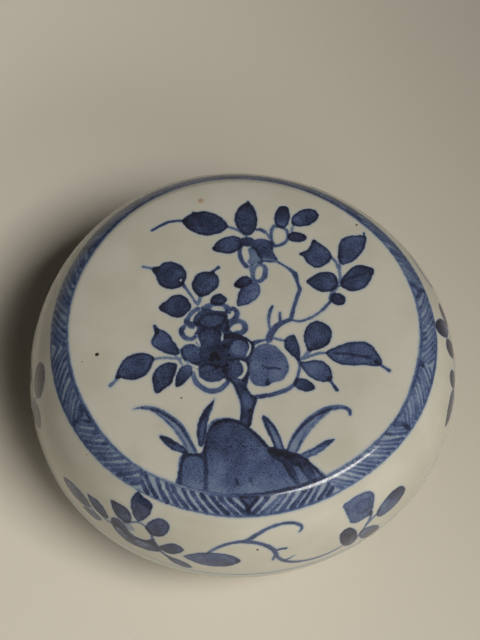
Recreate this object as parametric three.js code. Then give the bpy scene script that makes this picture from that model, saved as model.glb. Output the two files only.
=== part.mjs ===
// Round porcelain trinket box in two fired pieces: a cushion-shaped lid with a low domed top,
// and a shallow footed base whose upright lip the lid drops over.
// Millimetres, +Z up. The origin is the centre of the foot ring's resting plane, and -Y is the front.
import * as THREE from "three";

// Overall sizes
const boxRadius = 40; // greatest radius, at the lid's belly
const baseHeight = 17.4; // table to the ledge that the lid rests on
const lidHeight = 22.9; // lid's rim to the crown of its top
const seamGap = 0.2; // the bare rims meet on high spots only, so the seam stays open by this much

// Lid
const shoulderWidth = 8; // from the edge of the top panel out to the belly
const domeRise = 1.6; // crown of the top panel above the panel's edge
const bellyHeight = 3.6; // greatest radius above the rim
const shoulderDepth = 4; // the side stands upright to this far below the panel's edge
const panelBreak = 1.2; // length of the soft break between the panel and the shoulder
const lidWall = 3;
const rimTuck = 0.16; // the rim is pulled in from the belly by this much
const rimRound = 0.4; // softened corners of the bare rims

// Lip and ledge of the base
const ledgeWidth = 3.5; // from the greatest radius in to the lip
const lipHeight = 3.4;
const lipWall = 1.8;
const lipClearance = 0.6; // radial play of the lid over the lip
const lidOverhang = 0.3; // the lid's rim stands out over the base by this much

// Bowl of the base
const baseWall = 3.1;
const floorThickness = 3.4;
const bowlLean = THREE.MathUtils.degToRad(24); // lean of the base's side just under the seam
const bowlFlare = THREE.MathUtils.degToRad(22); // rise of the base's underside just outside the foot
const floorInset = 6; // the inside floor is flat to this much short of the foot's outer radius

// Foot ring
const footInset = 14; // from the greatest radius in to the foot's outer face
const footHeight = 2.9;
const footWidth = 2.3;
const footTaper = 0.8; // the foot narrows by this much towards the table
const footRound = 0.5;
const underRecess = 2.6; // depth of the glazed underside above the table

// Facets
const aroundSegments = 60;
const curveSteps = 6;

// Levels and radii that follow from the sizes above
const seamZ = baseHeight + seamGap;
const bellyZ = seamZ + bellyHeight;
const crownZ = seamZ + lidHeight;
const panelEdgeZ = crownZ - domeRise;
const panelRadius = boxRadius - shoulderWidth;
const rimRadius = boxRadius - rimTuck;
const lipRadius = boxRadius - ledgeWidth;
const lipBore = lipRadius - lipWall;
const lidBore = lipRadius + lipClearance;
const baseRimRadius = rimRadius - lidOverhang;
const bowlPull = (baseHeight - footHeight) * 0.55; // reach of the bowl's curve from either end
const footRadius = boxRadius - footInset;
const footBore = footRadius - footWidth;
const floorRadius = footRadius - floorInset;
const floorZ = underRecess + floorThickness;

// Section of the lid: ceiling, inside wall, bare rim, belly, shoulder and domed panel.
function lidSection() {
  const fullnessZ = panelEdgeZ - shoulderDepth;
  const breakDrop = (panelBreak * 2 * domeRise) / panelRadius;
  const ceilingRadius = panelRadius - lidWall / 2;
  const ceilingZ = crownZ - lidWall;
  const ceilingEdgeZ = panelEdgeZ - lidWall;
  const path = new THREE.Path().moveTo(0, ceilingZ);
  path.quadraticCurveTo(ceilingRadius / 2, ceilingZ, ceilingRadius, ceilingEdgeZ);
  path.bezierCurveTo(
    ceilingRadius + panelBreak,
    ceilingEdgeZ - breakDrop,
    lidBore,
    fullnessZ - lidWall,
    lidBore,
    bellyZ,
  );
  path.lineTo(lidBore, seamZ + rimRound);
  path.lineTo(lidBore + rimRound, seamZ);
  path.lineTo(rimRadius - rimRound, seamZ);
  path.quadraticCurveTo(rimRadius, seamZ, rimRadius, seamZ + rimRound);
  path.quadraticCurveTo(boxRadius, (seamZ + bellyZ) / 2, boxRadius, bellyZ);
  path.bezierCurveTo(
    boxRadius,
    fullnessZ,
    panelRadius + panelBreak,
    panelEdgeZ - breakDrop,
    panelRadius,
    panelEdgeZ,
  );
  path.quadraticCurveTo(panelRadius / 2, crownZ, 0, crownZ);
  return path;
}

// Section of the base: glazed underside, foot ring, bowl, ledge, lip and inside.
function baseSection() {
  const footJoinRadius = footRadius + footTaper;
  const path = new THREE.Path().moveTo(0, underRecess);
  path.lineTo(footBore - footTaper, underRecess);
  path.lineTo(footBore, underRecess - footTaper);
  path.lineTo(footBore, footRound);
  path.lineTo(footBore + footRound, 0);
  path.lineTo(footRadius - footRound, 0);
  path.quadraticCurveTo(footRadius, 0, footRadius, footRound);
  path.lineTo(footJoinRadius, footHeight);
  path.bezierCurveTo(
    footJoinRadius + bowlPull * Math.cos(bowlFlare),
    footHeight + bowlPull * Math.sin(bowlFlare),
    baseRimRadius - bowlPull * Math.sin(bowlLean),
    baseHeight - bowlPull * Math.cos(bowlLean),
    baseRimRadius,
    baseHeight - rimRound,
  );
  path.lineTo(baseRimRadius - rimRound, baseHeight);
  path.lineTo(lipRadius, baseHeight);
  path.lineTo(lipRadius, baseHeight + lipHeight - rimRound);
  path.quadraticCurveTo(lipRadius, baseHeight + lipHeight, lipRadius - rimRound, baseHeight + lipHeight);
  path.lineTo(lipBore + rimRound, baseHeight + lipHeight);
  path.quadraticCurveTo(lipBore, baseHeight + lipHeight, lipBore, baseHeight + lipHeight - rimRound);
  path.lineTo(lipBore, baseHeight - baseWall);
  path.quadraticCurveTo(lipBore - baseWall, floorZ, floorRadius, floorZ);
  path.lineTo(0, floorZ);
  return path;
}

// A section in the radius and height plane, turned about +Z into a named piece.
function turned(name, section, material) {
  const geometry = new THREE.LatheGeometry(section.getPoints(curveSteps), aroundSegments);
  geometry.rotateX(Math.PI / 2);
  const piece = new THREE.Mesh(geometry, material);
  piece.name = name;
  return piece;
}

const paintedPorcelain = new THREE.MeshStandardMaterial({ color: 0xb9b6a8, roughness: 0.12, metalness: 0 });
const plainPorcelain = new THREE.MeshStandardMaterial({ color: 0xbab8ab, roughness: 0.14, metalness: 0 });

const trinketBox = new THREE.Group();
trinketBox.add(turned("base", baseSection(), plainPorcelain));
trinketBox.add(turned("lid", lidSection(), paintedPorcelain));

export default trinketBox;
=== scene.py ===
"""A low round blue-and-white porcelain trinket box, painted by brush in underglaze cobalt.

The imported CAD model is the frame. This script makes the lid and the base again as fine turned
surfaces, paints them with brush strokes given in millimetres on the surface, and lights them.
The painting is kept on the surface points as distances to each brush mark's edge, which the
porcelain material turns into cobalt.
"""

import math

import bpy
import numpy as np
from mathutils import Matrix, Vector


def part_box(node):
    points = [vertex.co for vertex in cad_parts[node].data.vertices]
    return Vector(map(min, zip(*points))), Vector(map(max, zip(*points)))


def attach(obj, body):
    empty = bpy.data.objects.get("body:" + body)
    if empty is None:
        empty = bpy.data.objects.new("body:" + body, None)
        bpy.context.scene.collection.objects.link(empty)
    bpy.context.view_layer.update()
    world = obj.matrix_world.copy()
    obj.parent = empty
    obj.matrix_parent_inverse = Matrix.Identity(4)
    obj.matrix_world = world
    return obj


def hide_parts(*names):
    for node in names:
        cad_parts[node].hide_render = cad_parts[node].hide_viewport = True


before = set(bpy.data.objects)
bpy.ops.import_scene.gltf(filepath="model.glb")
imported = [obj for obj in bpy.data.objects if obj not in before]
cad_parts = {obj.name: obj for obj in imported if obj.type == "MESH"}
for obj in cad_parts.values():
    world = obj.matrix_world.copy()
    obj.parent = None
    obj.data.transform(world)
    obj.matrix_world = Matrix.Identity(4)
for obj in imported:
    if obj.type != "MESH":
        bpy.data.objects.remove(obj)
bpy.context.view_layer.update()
MM = 0.001

# ---------------------------------------------------------------- sizes, in millimetres
LID_LOW, LID_HIGH = (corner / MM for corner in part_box("lid"))
BASE_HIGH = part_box("base")[1] / MM
RADIUS = LID_HIGH.x
SEAM = LID_LOW.z
CROWN = LID_HIGH.z
LIP_TOP = BASE_HIGH.z
BASE_RADIUS = BASE_HIGH.x

SEAM_GAP = 0.2
LEDGE = SEAM - SEAM_GAP
PANEL_RADIUS = RADIUS - 8
DOME_RISE = 1.6
PANEL_EDGE = CROWN - DOME_RISE
PANEL_LEVEL = PANEL_RADIUS * 0.78  # the panel is nearly level this far out
PANEL_SLOPE = DOME_RISE / (PANEL_RADIUS - PANEL_LEVEL)
PANEL_BREAK = 0.9  # the panel's edge runs on this far before the shoulder turns down
SHOULDER_DEPTH = 4
BELLY = SEAM + 3.6
RIM_TUCK = 0.16
RIM_ROUND = 0.4
WALL = 3
LIP_RADIUS = RADIUS - 3.5
LIP_BORE = LIP_RADIUS - 1.8
LID_BORE = LIP_RADIUS + 0.6
FOOT_RADIUS = RADIUS - 14
FOOT_BORE = FOOT_RADIUS - 2.3
FOOT_HEIGHT = 2.9
FOOT_TAPER = 0.8
FOOT_ROUND = 0.5
UNDER = 2.6
FLOOR = UNDER + 3.4
FLOOR_RADIUS = FOOT_RADIUS - 6
BOWL_TURN = 3.1  # the inside floor turns up into the wall over this much
GLAZE_STOP = 0.5  # inside the bowl the glaze ends this far below the ledge
BOWL_PULL = (LEDGE - FOOT_HEIGHT) * 0.55
BOWL_LEAN = math.radians(24)
BOWL_FLARE = math.radians(22)

# The fired pair is a little out of round: (lobes, share of the radius, turn in radians).
WARP = [(2, 0.0098, 0.335), (3, 0.0094, 0.0)]

SAME_PLACE = 1e-4  # rings nearer than this are one ring
BAND_REACH = 27  # the band's brush marks never come in past this radius
BASE_MIDDLE = BASE_RADIUS - 4  # the base's painting is laid out around this radius
# Where the glaze has run and stands deeper: height above the lid's rim, and how far it spreads
LID_POOL, LID_POOL_SPREAD, FOOT_POOL_SPREAD = 1.4, 0.9, 1.1

# Spacing of the surface points, in millimetres along the section and as points around
PAINTED_STEP = 0.2
BASE_STEP = 0.25
UNDER_STEP = 0.3
RIM_STEP = 0.15
INSIDE_STEP = 1.0
FINE_AROUND = 1080
AROUND_SHARES = ((14, 1), (7, 2), (3, 4), (0, 12))  # (beyond this radius, one point in so many)


# ---------------------------------------------------------------- turned surfaces
def bezier(p0, p1, p2, p3, steps=80):
    t = np.linspace(0, 1, steps)[:, None]
    p0, p1, p2, p3 = (np.array(p, float) for p in (p0, p1, p2, p3))
    return (1 - t) ** 3 * p0 + 3 * (1 - t) ** 2 * t * p1 + 3 * (1 - t) * t**2 * p2 + t**3 * p3


def quadratic(p0, p1, p2, steps=40):
    t = np.linspace(0, 1, steps)[:, None]
    p0, p1, p2 = (np.array(p, float) for p in (p0, p1, p2))
    return (1 - t) ** 2 * p0 + 2 * (1 - t) * t * p1 + t**2 * p2


def line(p0, p1):
    return np.array([p0, p1], float)


def lid_section():
    """Stretches of the lid's section from the crown, down the outside and back up the inside."""
    full = PANEL_EDGE - SHOULDER_DEPTH
    drop = PANEL_BREAK * PANEL_SLOPE
    ceiling_radius = PANEL_RADIUS - WALL / 2
    rim = RADIUS - RIM_TUCK
    top = quadratic((0, CROWN), (PANEL_LEVEL, CROWN), (PANEL_RADIUS, PANEL_EDGE))
    side = bezier(
        (PANEL_RADIUS, PANEL_EDGE),
        (PANEL_RADIUS + PANEL_BREAK, PANEL_EDGE - drop),
        (RADIUS, full),
        (RADIUS, BELLY),
    )
    tuck = quadratic((RADIUS, BELLY), (RADIUS, (SEAM + BELLY) / 2), (rim, SEAM + RIM_ROUND))
    edge = quadratic((rim, SEAM + RIM_ROUND), (rim, SEAM), (rim - RIM_ROUND, SEAM), 8)
    seat = line((rim - RIM_ROUND, SEAM), (LID_BORE + RIM_ROUND, SEAM))
    inner_edge = quadratic(
        (LID_BORE + RIM_ROUND, SEAM), (LID_BORE, SEAM), (LID_BORE, SEAM + RIM_ROUND), 8
    )
    bore = line((LID_BORE, SEAM + RIM_ROUND), (LID_BORE, BELLY))
    hollow = bezier(
        (LID_BORE, BELLY),
        (LID_BORE, full - WALL),
        (ceiling_radius + PANEL_BREAK, PANEL_EDGE - WALL - drop),
        (ceiling_radius, PANEL_EDGE - WALL),
    )
    ceiling = quadratic(
        (ceiling_radius, PANEL_EDGE - WALL), (PANEL_LEVEL - WALL / 2, CROWN - WALL), (0, CROWN - WALL)
    )
    return [
        ("top", top, PAINTED_STEP),
        ("side", np.vstack([side, tuck[1:]]), PAINTED_STEP),
        ("bare", np.vstack([edge, seat, inner_edge]), RIM_STEP),
        ("inside", np.vstack([bore, hollow[1:], ceiling[1:]]), INSIDE_STEP),
    ]


def base_section():
    """Stretches of the base's section from the inside floor, over the lip and down to the foot."""
    rim = BASE_RADIUS
    join = FOOT_RADIUS + FOOT_TAPER
    floor = np.vstack([
        line((0, FLOOR), (FLOOR_RADIUS, FLOOR)),
        quadratic((FLOOR_RADIUS, FLOOR), (LIP_BORE - BOWL_TURN, FLOOR), (LIP_BORE, LEDGE - BOWL_TURN)),
        line((LIP_BORE, LEDGE - BOWL_TURN), (LIP_BORE, LEDGE - GLAZE_STOP)),
    ])
    lip = np.vstack([
        line((LIP_BORE, LEDGE - GLAZE_STOP), (LIP_BORE, LIP_TOP - RIM_ROUND)),
        quadratic(
            (LIP_BORE, LIP_TOP - RIM_ROUND), (LIP_BORE, LIP_TOP), (LIP_BORE + RIM_ROUND, LIP_TOP), 8
        ),
        quadratic(
            (LIP_RADIUS - RIM_ROUND, LIP_TOP), (LIP_RADIUS, LIP_TOP), (LIP_RADIUS, LIP_TOP - RIM_ROUND), 8
        ),
        quadratic(
            (LIP_RADIUS, LEDGE + RIM_ROUND), (LIP_RADIUS, LEDGE), (LIP_RADIUS + RIM_ROUND, LEDGE), 8
        ),
        quadratic((rim - RIM_ROUND, LEDGE), (rim, LEDGE), (rim, LEDGE - RIM_ROUND), 8),
    ])
    side = bezier(
        (rim, LEDGE - RIM_ROUND),
        (rim - BOWL_PULL * math.sin(BOWL_LEAN), LEDGE - BOWL_PULL * math.cos(BOWL_LEAN)),
        (join + BOWL_PULL * math.cos(BOWL_FLARE), FOOT_HEIGHT + BOWL_PULL * math.sin(BOWL_FLARE)),
        (join, FOOT_HEIGHT),
    )
    foot_side = line((join, FOOT_HEIGHT), (FOOT_RADIUS, FOOT_ROUND))
    foot = np.vstack([
        quadratic((FOOT_RADIUS, FOOT_ROUND), (FOOT_RADIUS, 0), (FOOT_RADIUS - FOOT_ROUND, 0), 8),
        quadratic((FOOT_BORE + FOOT_ROUND, 0), (FOOT_BORE, 0), (FOOT_BORE, FOOT_ROUND), 8),
    ])
    under = np.vstack([
        quadratic(
            (FOOT_BORE, FOOT_ROUND), (FOOT_BORE, UNDER), (FOOT_BORE - 2 * FOOT_TAPER, UNDER), 16
        ),
        line((FOOT_BORE - 2 * FOOT_TAPER, UNDER), (0, UNDER)),
    ])
    return [
        ("inside", floor, INSIDE_STEP),
        ("bare", lip, PAINTED_STEP),
        ("side", np.vstack([side, foot_side[1:]]), BASE_STEP),
        ("bare", foot, PAINTED_STEP),
        ("under", under, UNDER_STEP),
    ]


def spaced(path, step):
    """Points along a polyline at an even spacing near step, both ends kept."""
    run = np.concatenate([[0], np.cumsum(np.hypot(*np.diff(path, axis=0).T))])
    keep = np.concatenate([[True], np.diff(run) > 1e-9])
    count = max(2, round(run[-1] / step) + 1)
    at = np.linspace(0, run[-1], count)
    return np.stack([np.interp(at, run[keep], path[keep, i]) for i in (0, 1)], 1), at


def around_count(part, radius):
    """How many points a ring gets: many where there is painting, fewer near the axis and inside."""
    if part == "inside":
        return FINE_AROUND // (9 if radius > 6 else 36)
    return next(FINE_AROUND // share for limit, share in AROUND_SHARES if radius >= limit)


def turned(name, section):
    """A closed turned mesh. Returns the object and, for each point, its part, radius, height and run."""
    kept = []
    for part, path, step in section:
        for (radius, height), along in zip(*spaced(path, step)):
            ring = (part, radius, height, along)
            if kept and np.hypot(kept[-1][1] - radius, kept[-1][2] - height) < SAME_PLACE:
                if part in ("top", "side"):
                    kept[-1] = ring
                continue
            kept.append(ring)
    counts = [1 if radius < 1e-6 else around_count(part, radius) for part, radius, _, _ in kept]
    starts = np.concatenate([[0], np.cumsum(counts)])[:-1].tolist()
    parts, radii, heights, runs = (np.repeat(np.array(column), counts) for column in zip(*kept))
    angles = np.concatenate([np.arange(count) * (2 * math.pi / count) for count in counts])
    faces = []
    for a, b, n_a, n_b in zip(starts, starts[1:], counts, counts[1:]):
        faces += stitch(a, b, n_a, n_b)
    out_of_round = 1 + sum(share * np.cos(lobes * (angles - turn)) for lobes, share, turn in WARP)
    x = radii * out_of_round * np.cos(angles)
    y = radii * out_of_round * np.sin(angles)
    mesh = bpy.data.meshes.new(name)
    mesh.from_pydata((np.stack([x, y, heights], 1) * MM).tolist(), [], faces)
    mesh.polygons.foreach_set("use_smooth", np.ones(len(mesh.polygons), bool))
    mesh.update()
    piece = bpy.data.objects.new(name, mesh)
    bpy.context.scene.collection.objects.link(piece)
    return piece, {"part": parts, "r": radii, "z": heights, "run": runs}


def stitch(a, b, n_a, n_b):
    """Faces between two rings whose counts are equal or a whole multiple of each other."""
    if n_a == 1:
        return [(a, b + j, b + (j + 1) % n_b) for j in range(n_b)]
    if n_b == 1:
        return [(b, a + (j + 1) % n_a, a + j) for j in range(n_a)]
    if n_a == n_b:
        return [(a + j, b + j, b + (j + 1) % n_b, a + (j + 1) % n_a) for j in range(n_a)]
    if n_a > n_b:
        k = n_a // n_b
        return [
            (*(a + (k * j + i) % n_a for i in range(k, -1, -1)), b + j, b + (j + 1) % n_b)
            for j in range(n_b)
        ]
    k = n_b // n_a
    return [
        (a + (j + 1) % n_a, a + j, *(b + (k * j + i) % n_b for i in range(k + 1)))
        for j in range(n_a)
    ]


# ---------------------------------------------------------------- brush work
FAR = 1.2  # distances to a brush mark's edge are kept up to this, in millimetres


def flowing(points, closed=False, steps=7):
    """A smooth line through a few points (each may carry more columns, such as width)."""
    p = np.array(points, float)
    if closed:
        p = np.vstack([p[-1], p, p[:2]])
    else:
        p = np.vstack([2 * p[0] - p[1], p, 2 * p[-1] - p[-2]])
    t = np.linspace(0, 1, steps, endpoint=False)[:, None]
    pieces = []
    for a, b, c, d in zip(p, p[1:], p[2:], p[3:]):
        curve = (2 * a - 5 * b + 4 * c - d) * t**2 + (3 * b - a - 3 * c + d) * t**3
        pieces.append(0.5 * (2 * b + (c - a) * t + curve))
    if not closed:
        pieces.append(p[-2:-1])
    return np.vstack(pieces)


def to_path(p, path):
    """For each point: the least gap to a brushed line's edge, and the line's tone there."""
    best = np.full(len(p), np.inf)
    tone = np.zeros(len(p))
    for a, b in zip(path, path[1:]):
        along = b[:2] - a[:2]
        length = max(along @ along, 1e-12)
        t = np.clip(((p - a[:2]) @ along) / length, 0, 1)
        gap = np.hypot(*(p - a[:2] - t[:, None] * along).T) - (a[2] + (b[2] - a[2]) * t) / 2
        nearer = gap < best
        best = np.where(nearer, gap, best)
        tone = np.where(nearer, a[3] + (b[3] - a[3]) * t, tone)
    return best, tone


def to_outline(p, outline):
    """Signed distance to a closed outline, negative inside."""
    best = np.full(len(p), np.inf)
    inside = np.zeros(len(p), bool)
    for a, b in zip(outline, np.roll(outline, -1, axis=0)):
        along = b - a
        length = max(along @ along, 1e-12)
        t = np.clip(((p - a) @ along) / length, 0, 1)
        best = np.minimum(best, np.hypot(*(p - a - t[:, None] * along).T))
        crosses = (a[1] > p[:, 1]) != (b[1] > p[:, 1])
        if abs(along[1]) > 1e-12:
            inside ^= crosses & (p[:, 0] < a[0] + (p[:, 1] - a[1]) * along[0] / along[1])
    return np.where(inside, -best, best)


class Sheet:
    """Surface points laid flat, in millimetres, with the cobalt painted on them so far."""

    def __init__(self, x, y, wrap=None, place=None):
        self.x, self.y, self.wrap = x, y, wrap
        self.place = place or (lambda points: np.array(points, float))
        count = len(x)
        self.wash = np.full(count, FAR)
        self.wash_tone = np.zeros(count)
        self.pool = np.zeros(count)
        self.line = np.full(count, FAR)
        self.line_tone = np.zeros(count)

    def near(self, points, margin):
        low, high = points.min(0) - margin, points.max(0) + margin
        middle, half = (low + high) / 2, (high - low) / 2
        dx = self.x - middle[0]
        if self.wrap:
            dx = (dx + self.wrap / 2) % self.wrap - self.wrap / 2
        dy = self.y - middle[1]
        found = np.nonzero((np.abs(dx) < half[0]) & (np.abs(dy) < half[1]))[0]
        return found, np.stack([dx[found] + middle[0], dy[found] + middle[1]], 1)

    def stroke(self, points, width=0.5, tone=0.9):
        """A brushed line. width and tone are one number, or one for each point."""
        self.draw(self.place(points), width, tone)

    def area(self, points, tone=0.5, pool=0.25, smooth=True, fade=None):
        """A washed area. pool is how much darker its edge dries. fade is (direction, change)."""
        outline = self.outline(points) if smooth else self.place(points)
        self.fill(outline, tone, pool, fade)

    def lift(self, points):
        """Leaves an area of what is painted so far bare."""
        outline = self.outline(points)
        found, p = self.near(outline, FAR)
        gap = to_outline(p, outline)
        self.wash[found] = np.maximum(self.wash[found], -gap)
        self.line[found] = np.maximum(self.line[found], -gap)

    def tint(self, points, tone):
        """Changes the tone of a washed area inside an outline."""
        outline = self.outline(points)
        found, p = self.near(outline, FAR)
        self.wash_tone[found[to_outline(p, outline) < 0]] = tone

    def leaf(self, base, tip, left, right=None, blunt=(0.6, 0.8), bend=0.0, tone=0.62, pool=0.3,
             tail=None):
        """A leaf from its stem end to its tip, as half-widths to either side. tail: more points."""
        right = left if right is None else right
        base, tip = self.place([base, tip])
        near_end = np.linspace(0, 1, 15) ** 1.6 / 2
        t = np.concatenate([near_end, 1 - near_end[-2::-1]])
        p, q = blunt
        shape = t**p * (1 - t) ** q
        shape /= shape.max()
        axis = tip - base
        across = np.array([-axis[1], axis[0]]) / np.hypot(*axis)
        spine = base + t[:, None] * axis + (4 * t * (1 - t) * bend)[:, None] * across
        one = spine + (shape * left)[:, None] * across
        two = spine - (shape * right)[:, None] * across
        self.fill(np.vstack([one, two[-2:0:-1]]), tone, pool, fade=(axis, 0.08))
        if tail is not None:
            far = self.place(tail)
            self.draw(np.vstack([tip - axis * 0.08, far]), [0.8] + [0.55] * len(far), 0.95)

    def dot(self, at, size, tone=0.95):
        (x, y), = self.place([at])
        self.draw([(x - 0.02, y), (x + 0.02, y)], size, tone)

    def outline(self, points):
        return flowing(self.place(points), closed=True, steps=5)

    def draw(self, flat, width, tone):
        """A brushed line through points in millimetres."""
        ones = np.ones(len(flat))
        path = flowing(np.column_stack([flat, ones * width, ones * tone]))
        found, p = self.near(path[:, :2], path[:, 2].max() / 2 + FAR)
        gap, tone_at = to_path(p, path)
        nearer = gap < self.line[found]
        self.line[found[nearer]] = gap[nearer]
        self.line_tone[found[nearer]] = tone_at[nearer]

    def fill(self, outline, tone, pool, fade=None):
        """A washed area inside an outline in millimetres."""
        found, p = self.near(outline, FAR)
        gap = to_outline(p, outline)
        tone_at = np.full(len(p), float(tone))
        if fade is not None:
            way = np.array(fade[0], float)
            way /= np.hypot(*way)
            run = (p - outline.mean(0)) @ way
            tone_at += fade[1] * np.clip(run / max(np.ptp(outline @ way) / 2, 1e-6), -1, 1)
        nearer = gap < self.wash[found]
        self.wash[found[nearer]] = gap[nearer]
        self.wash_tone[found[nearer]] = tone_at[nearer]
        self.pool[found[nearer]] = pool


# ---------------------------------------------------------------- the picture on the top
# Millimetres from the box's axis: x to the right, y towards the back.
def paint_rock(s):
    s.area(
        [(-8.9, -31.7), (-9.1, -29.0), (-8.9, -26.8), (-8.5, -25.3), (-7.0, -25.0), (-5.4, -24.6),
         (-5.1, -22.5), (-4.9, -20.8), (-4.2, -19.4), (-3.0, -18.3), (-1.3, -17.9), (0.6, -18.2),
         (2.4, -19.1), (4.2, -20.5), (5.9, -22.0), (7.6, -23.0), (10.0, -23.4), (12.3, -23.6),
         (14.0, -24.4), (16.0, -26.0), (17.4, -26.9), (14.5, -28.9), (10.5, -30.6), (5.0, -31.7),
         (-2.0, -32.0)],
        tone=0.56, pool=0.14, fade=((-0.15, 1), 0.14),
    )
    s.area([(-4.6, -21.6), (-3.2, -19.4), (-1.2, -18.6), (1.4, -19.4), (3.6, -21.2), (6.2, -23.6),
            (8.6, -25.0), (10.4, -26.6), (8.2, -27.8), (3.4, -27.4), (-1.6, -27.8), (-4.4, -26.4)],
           tone=0.73, pool=0.0)
    s.stroke([(-5.0, -20.6), (-4.2, -19.3), (-3.0, -18.4), (-1.2, -18.1), (0.8, -18.4), (2.4, -19.3)],
             [0.5, 0.9, 0.9, 0.8, 0.6, 0.5], [0.5, 0.66, 0.66, 0.6, 0.5, 0.5])
    s.stroke([(2.4, -19.3), (4.2, -20.7), (6.0, -22.3), (7.4, -23.2)], [0.5, 0.6, 0.6, 0.6], 0.55)
    s.stroke([(-5.2, -20.4), (-5.1, -23.0), (-4.8, -25.6), (-4.3, -28.2), (-4.0, -31.3)],
             [0.5, 0.6, 0.7, 0.7, 0.8], [0.5, 0.46, 0.6, 0.56, 0.5])
    s.stroke([(-8.2, -25.2), (-8.8, -26.4), (-8.9, -28.2), (-8.7, -30.0), (-8.4, -31.6)],
             [1.1, 0.9, 0.7, 0.8, 0.9], [0.8, 0.7, 0.5, 0.5, 0.55])
    s.stroke([(-8.4, -25.3), (-7.0, -25.3), (-5.4, -25.4)], [0.9, 0.6, 0.5], [0.9, 0.7, 0.6])
    s.stroke([(8.8, -24.5), (9.9, -26.2), (11.2, -27.9), (12.0, -28.6)], [0.4, 0.45, 0.6, 0.3], 0.5)
    s.stroke([(11.4, -24.6), (13.0, -26.4), (14.6, -27.8), (15.4, -28.3)], [0.5, 0.6, 0.6, 0.4], 0.5)
    s.stroke([(13.0, -23.8), (14.8, -25.1), (16.4, -26.3), (17.4, -27.0)], [0.5, 0.5, 0.9, 0.6], 0.66)
    s.stroke([(1.0, -28.8), (1.5, -29.8)], 0.4, 0.58)
    s.stroke([(3.4, -28.4), (4.0, -29.4)], 0.35, 0.56)
    s.area([(-1.5, -31.0), (2.5, -30.7), (7.0, -30.4), (8.5, -31.2), (3.0, -31.9), (-2.5, -32.0)],
           tone=0.3, pool=0.0)


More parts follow.
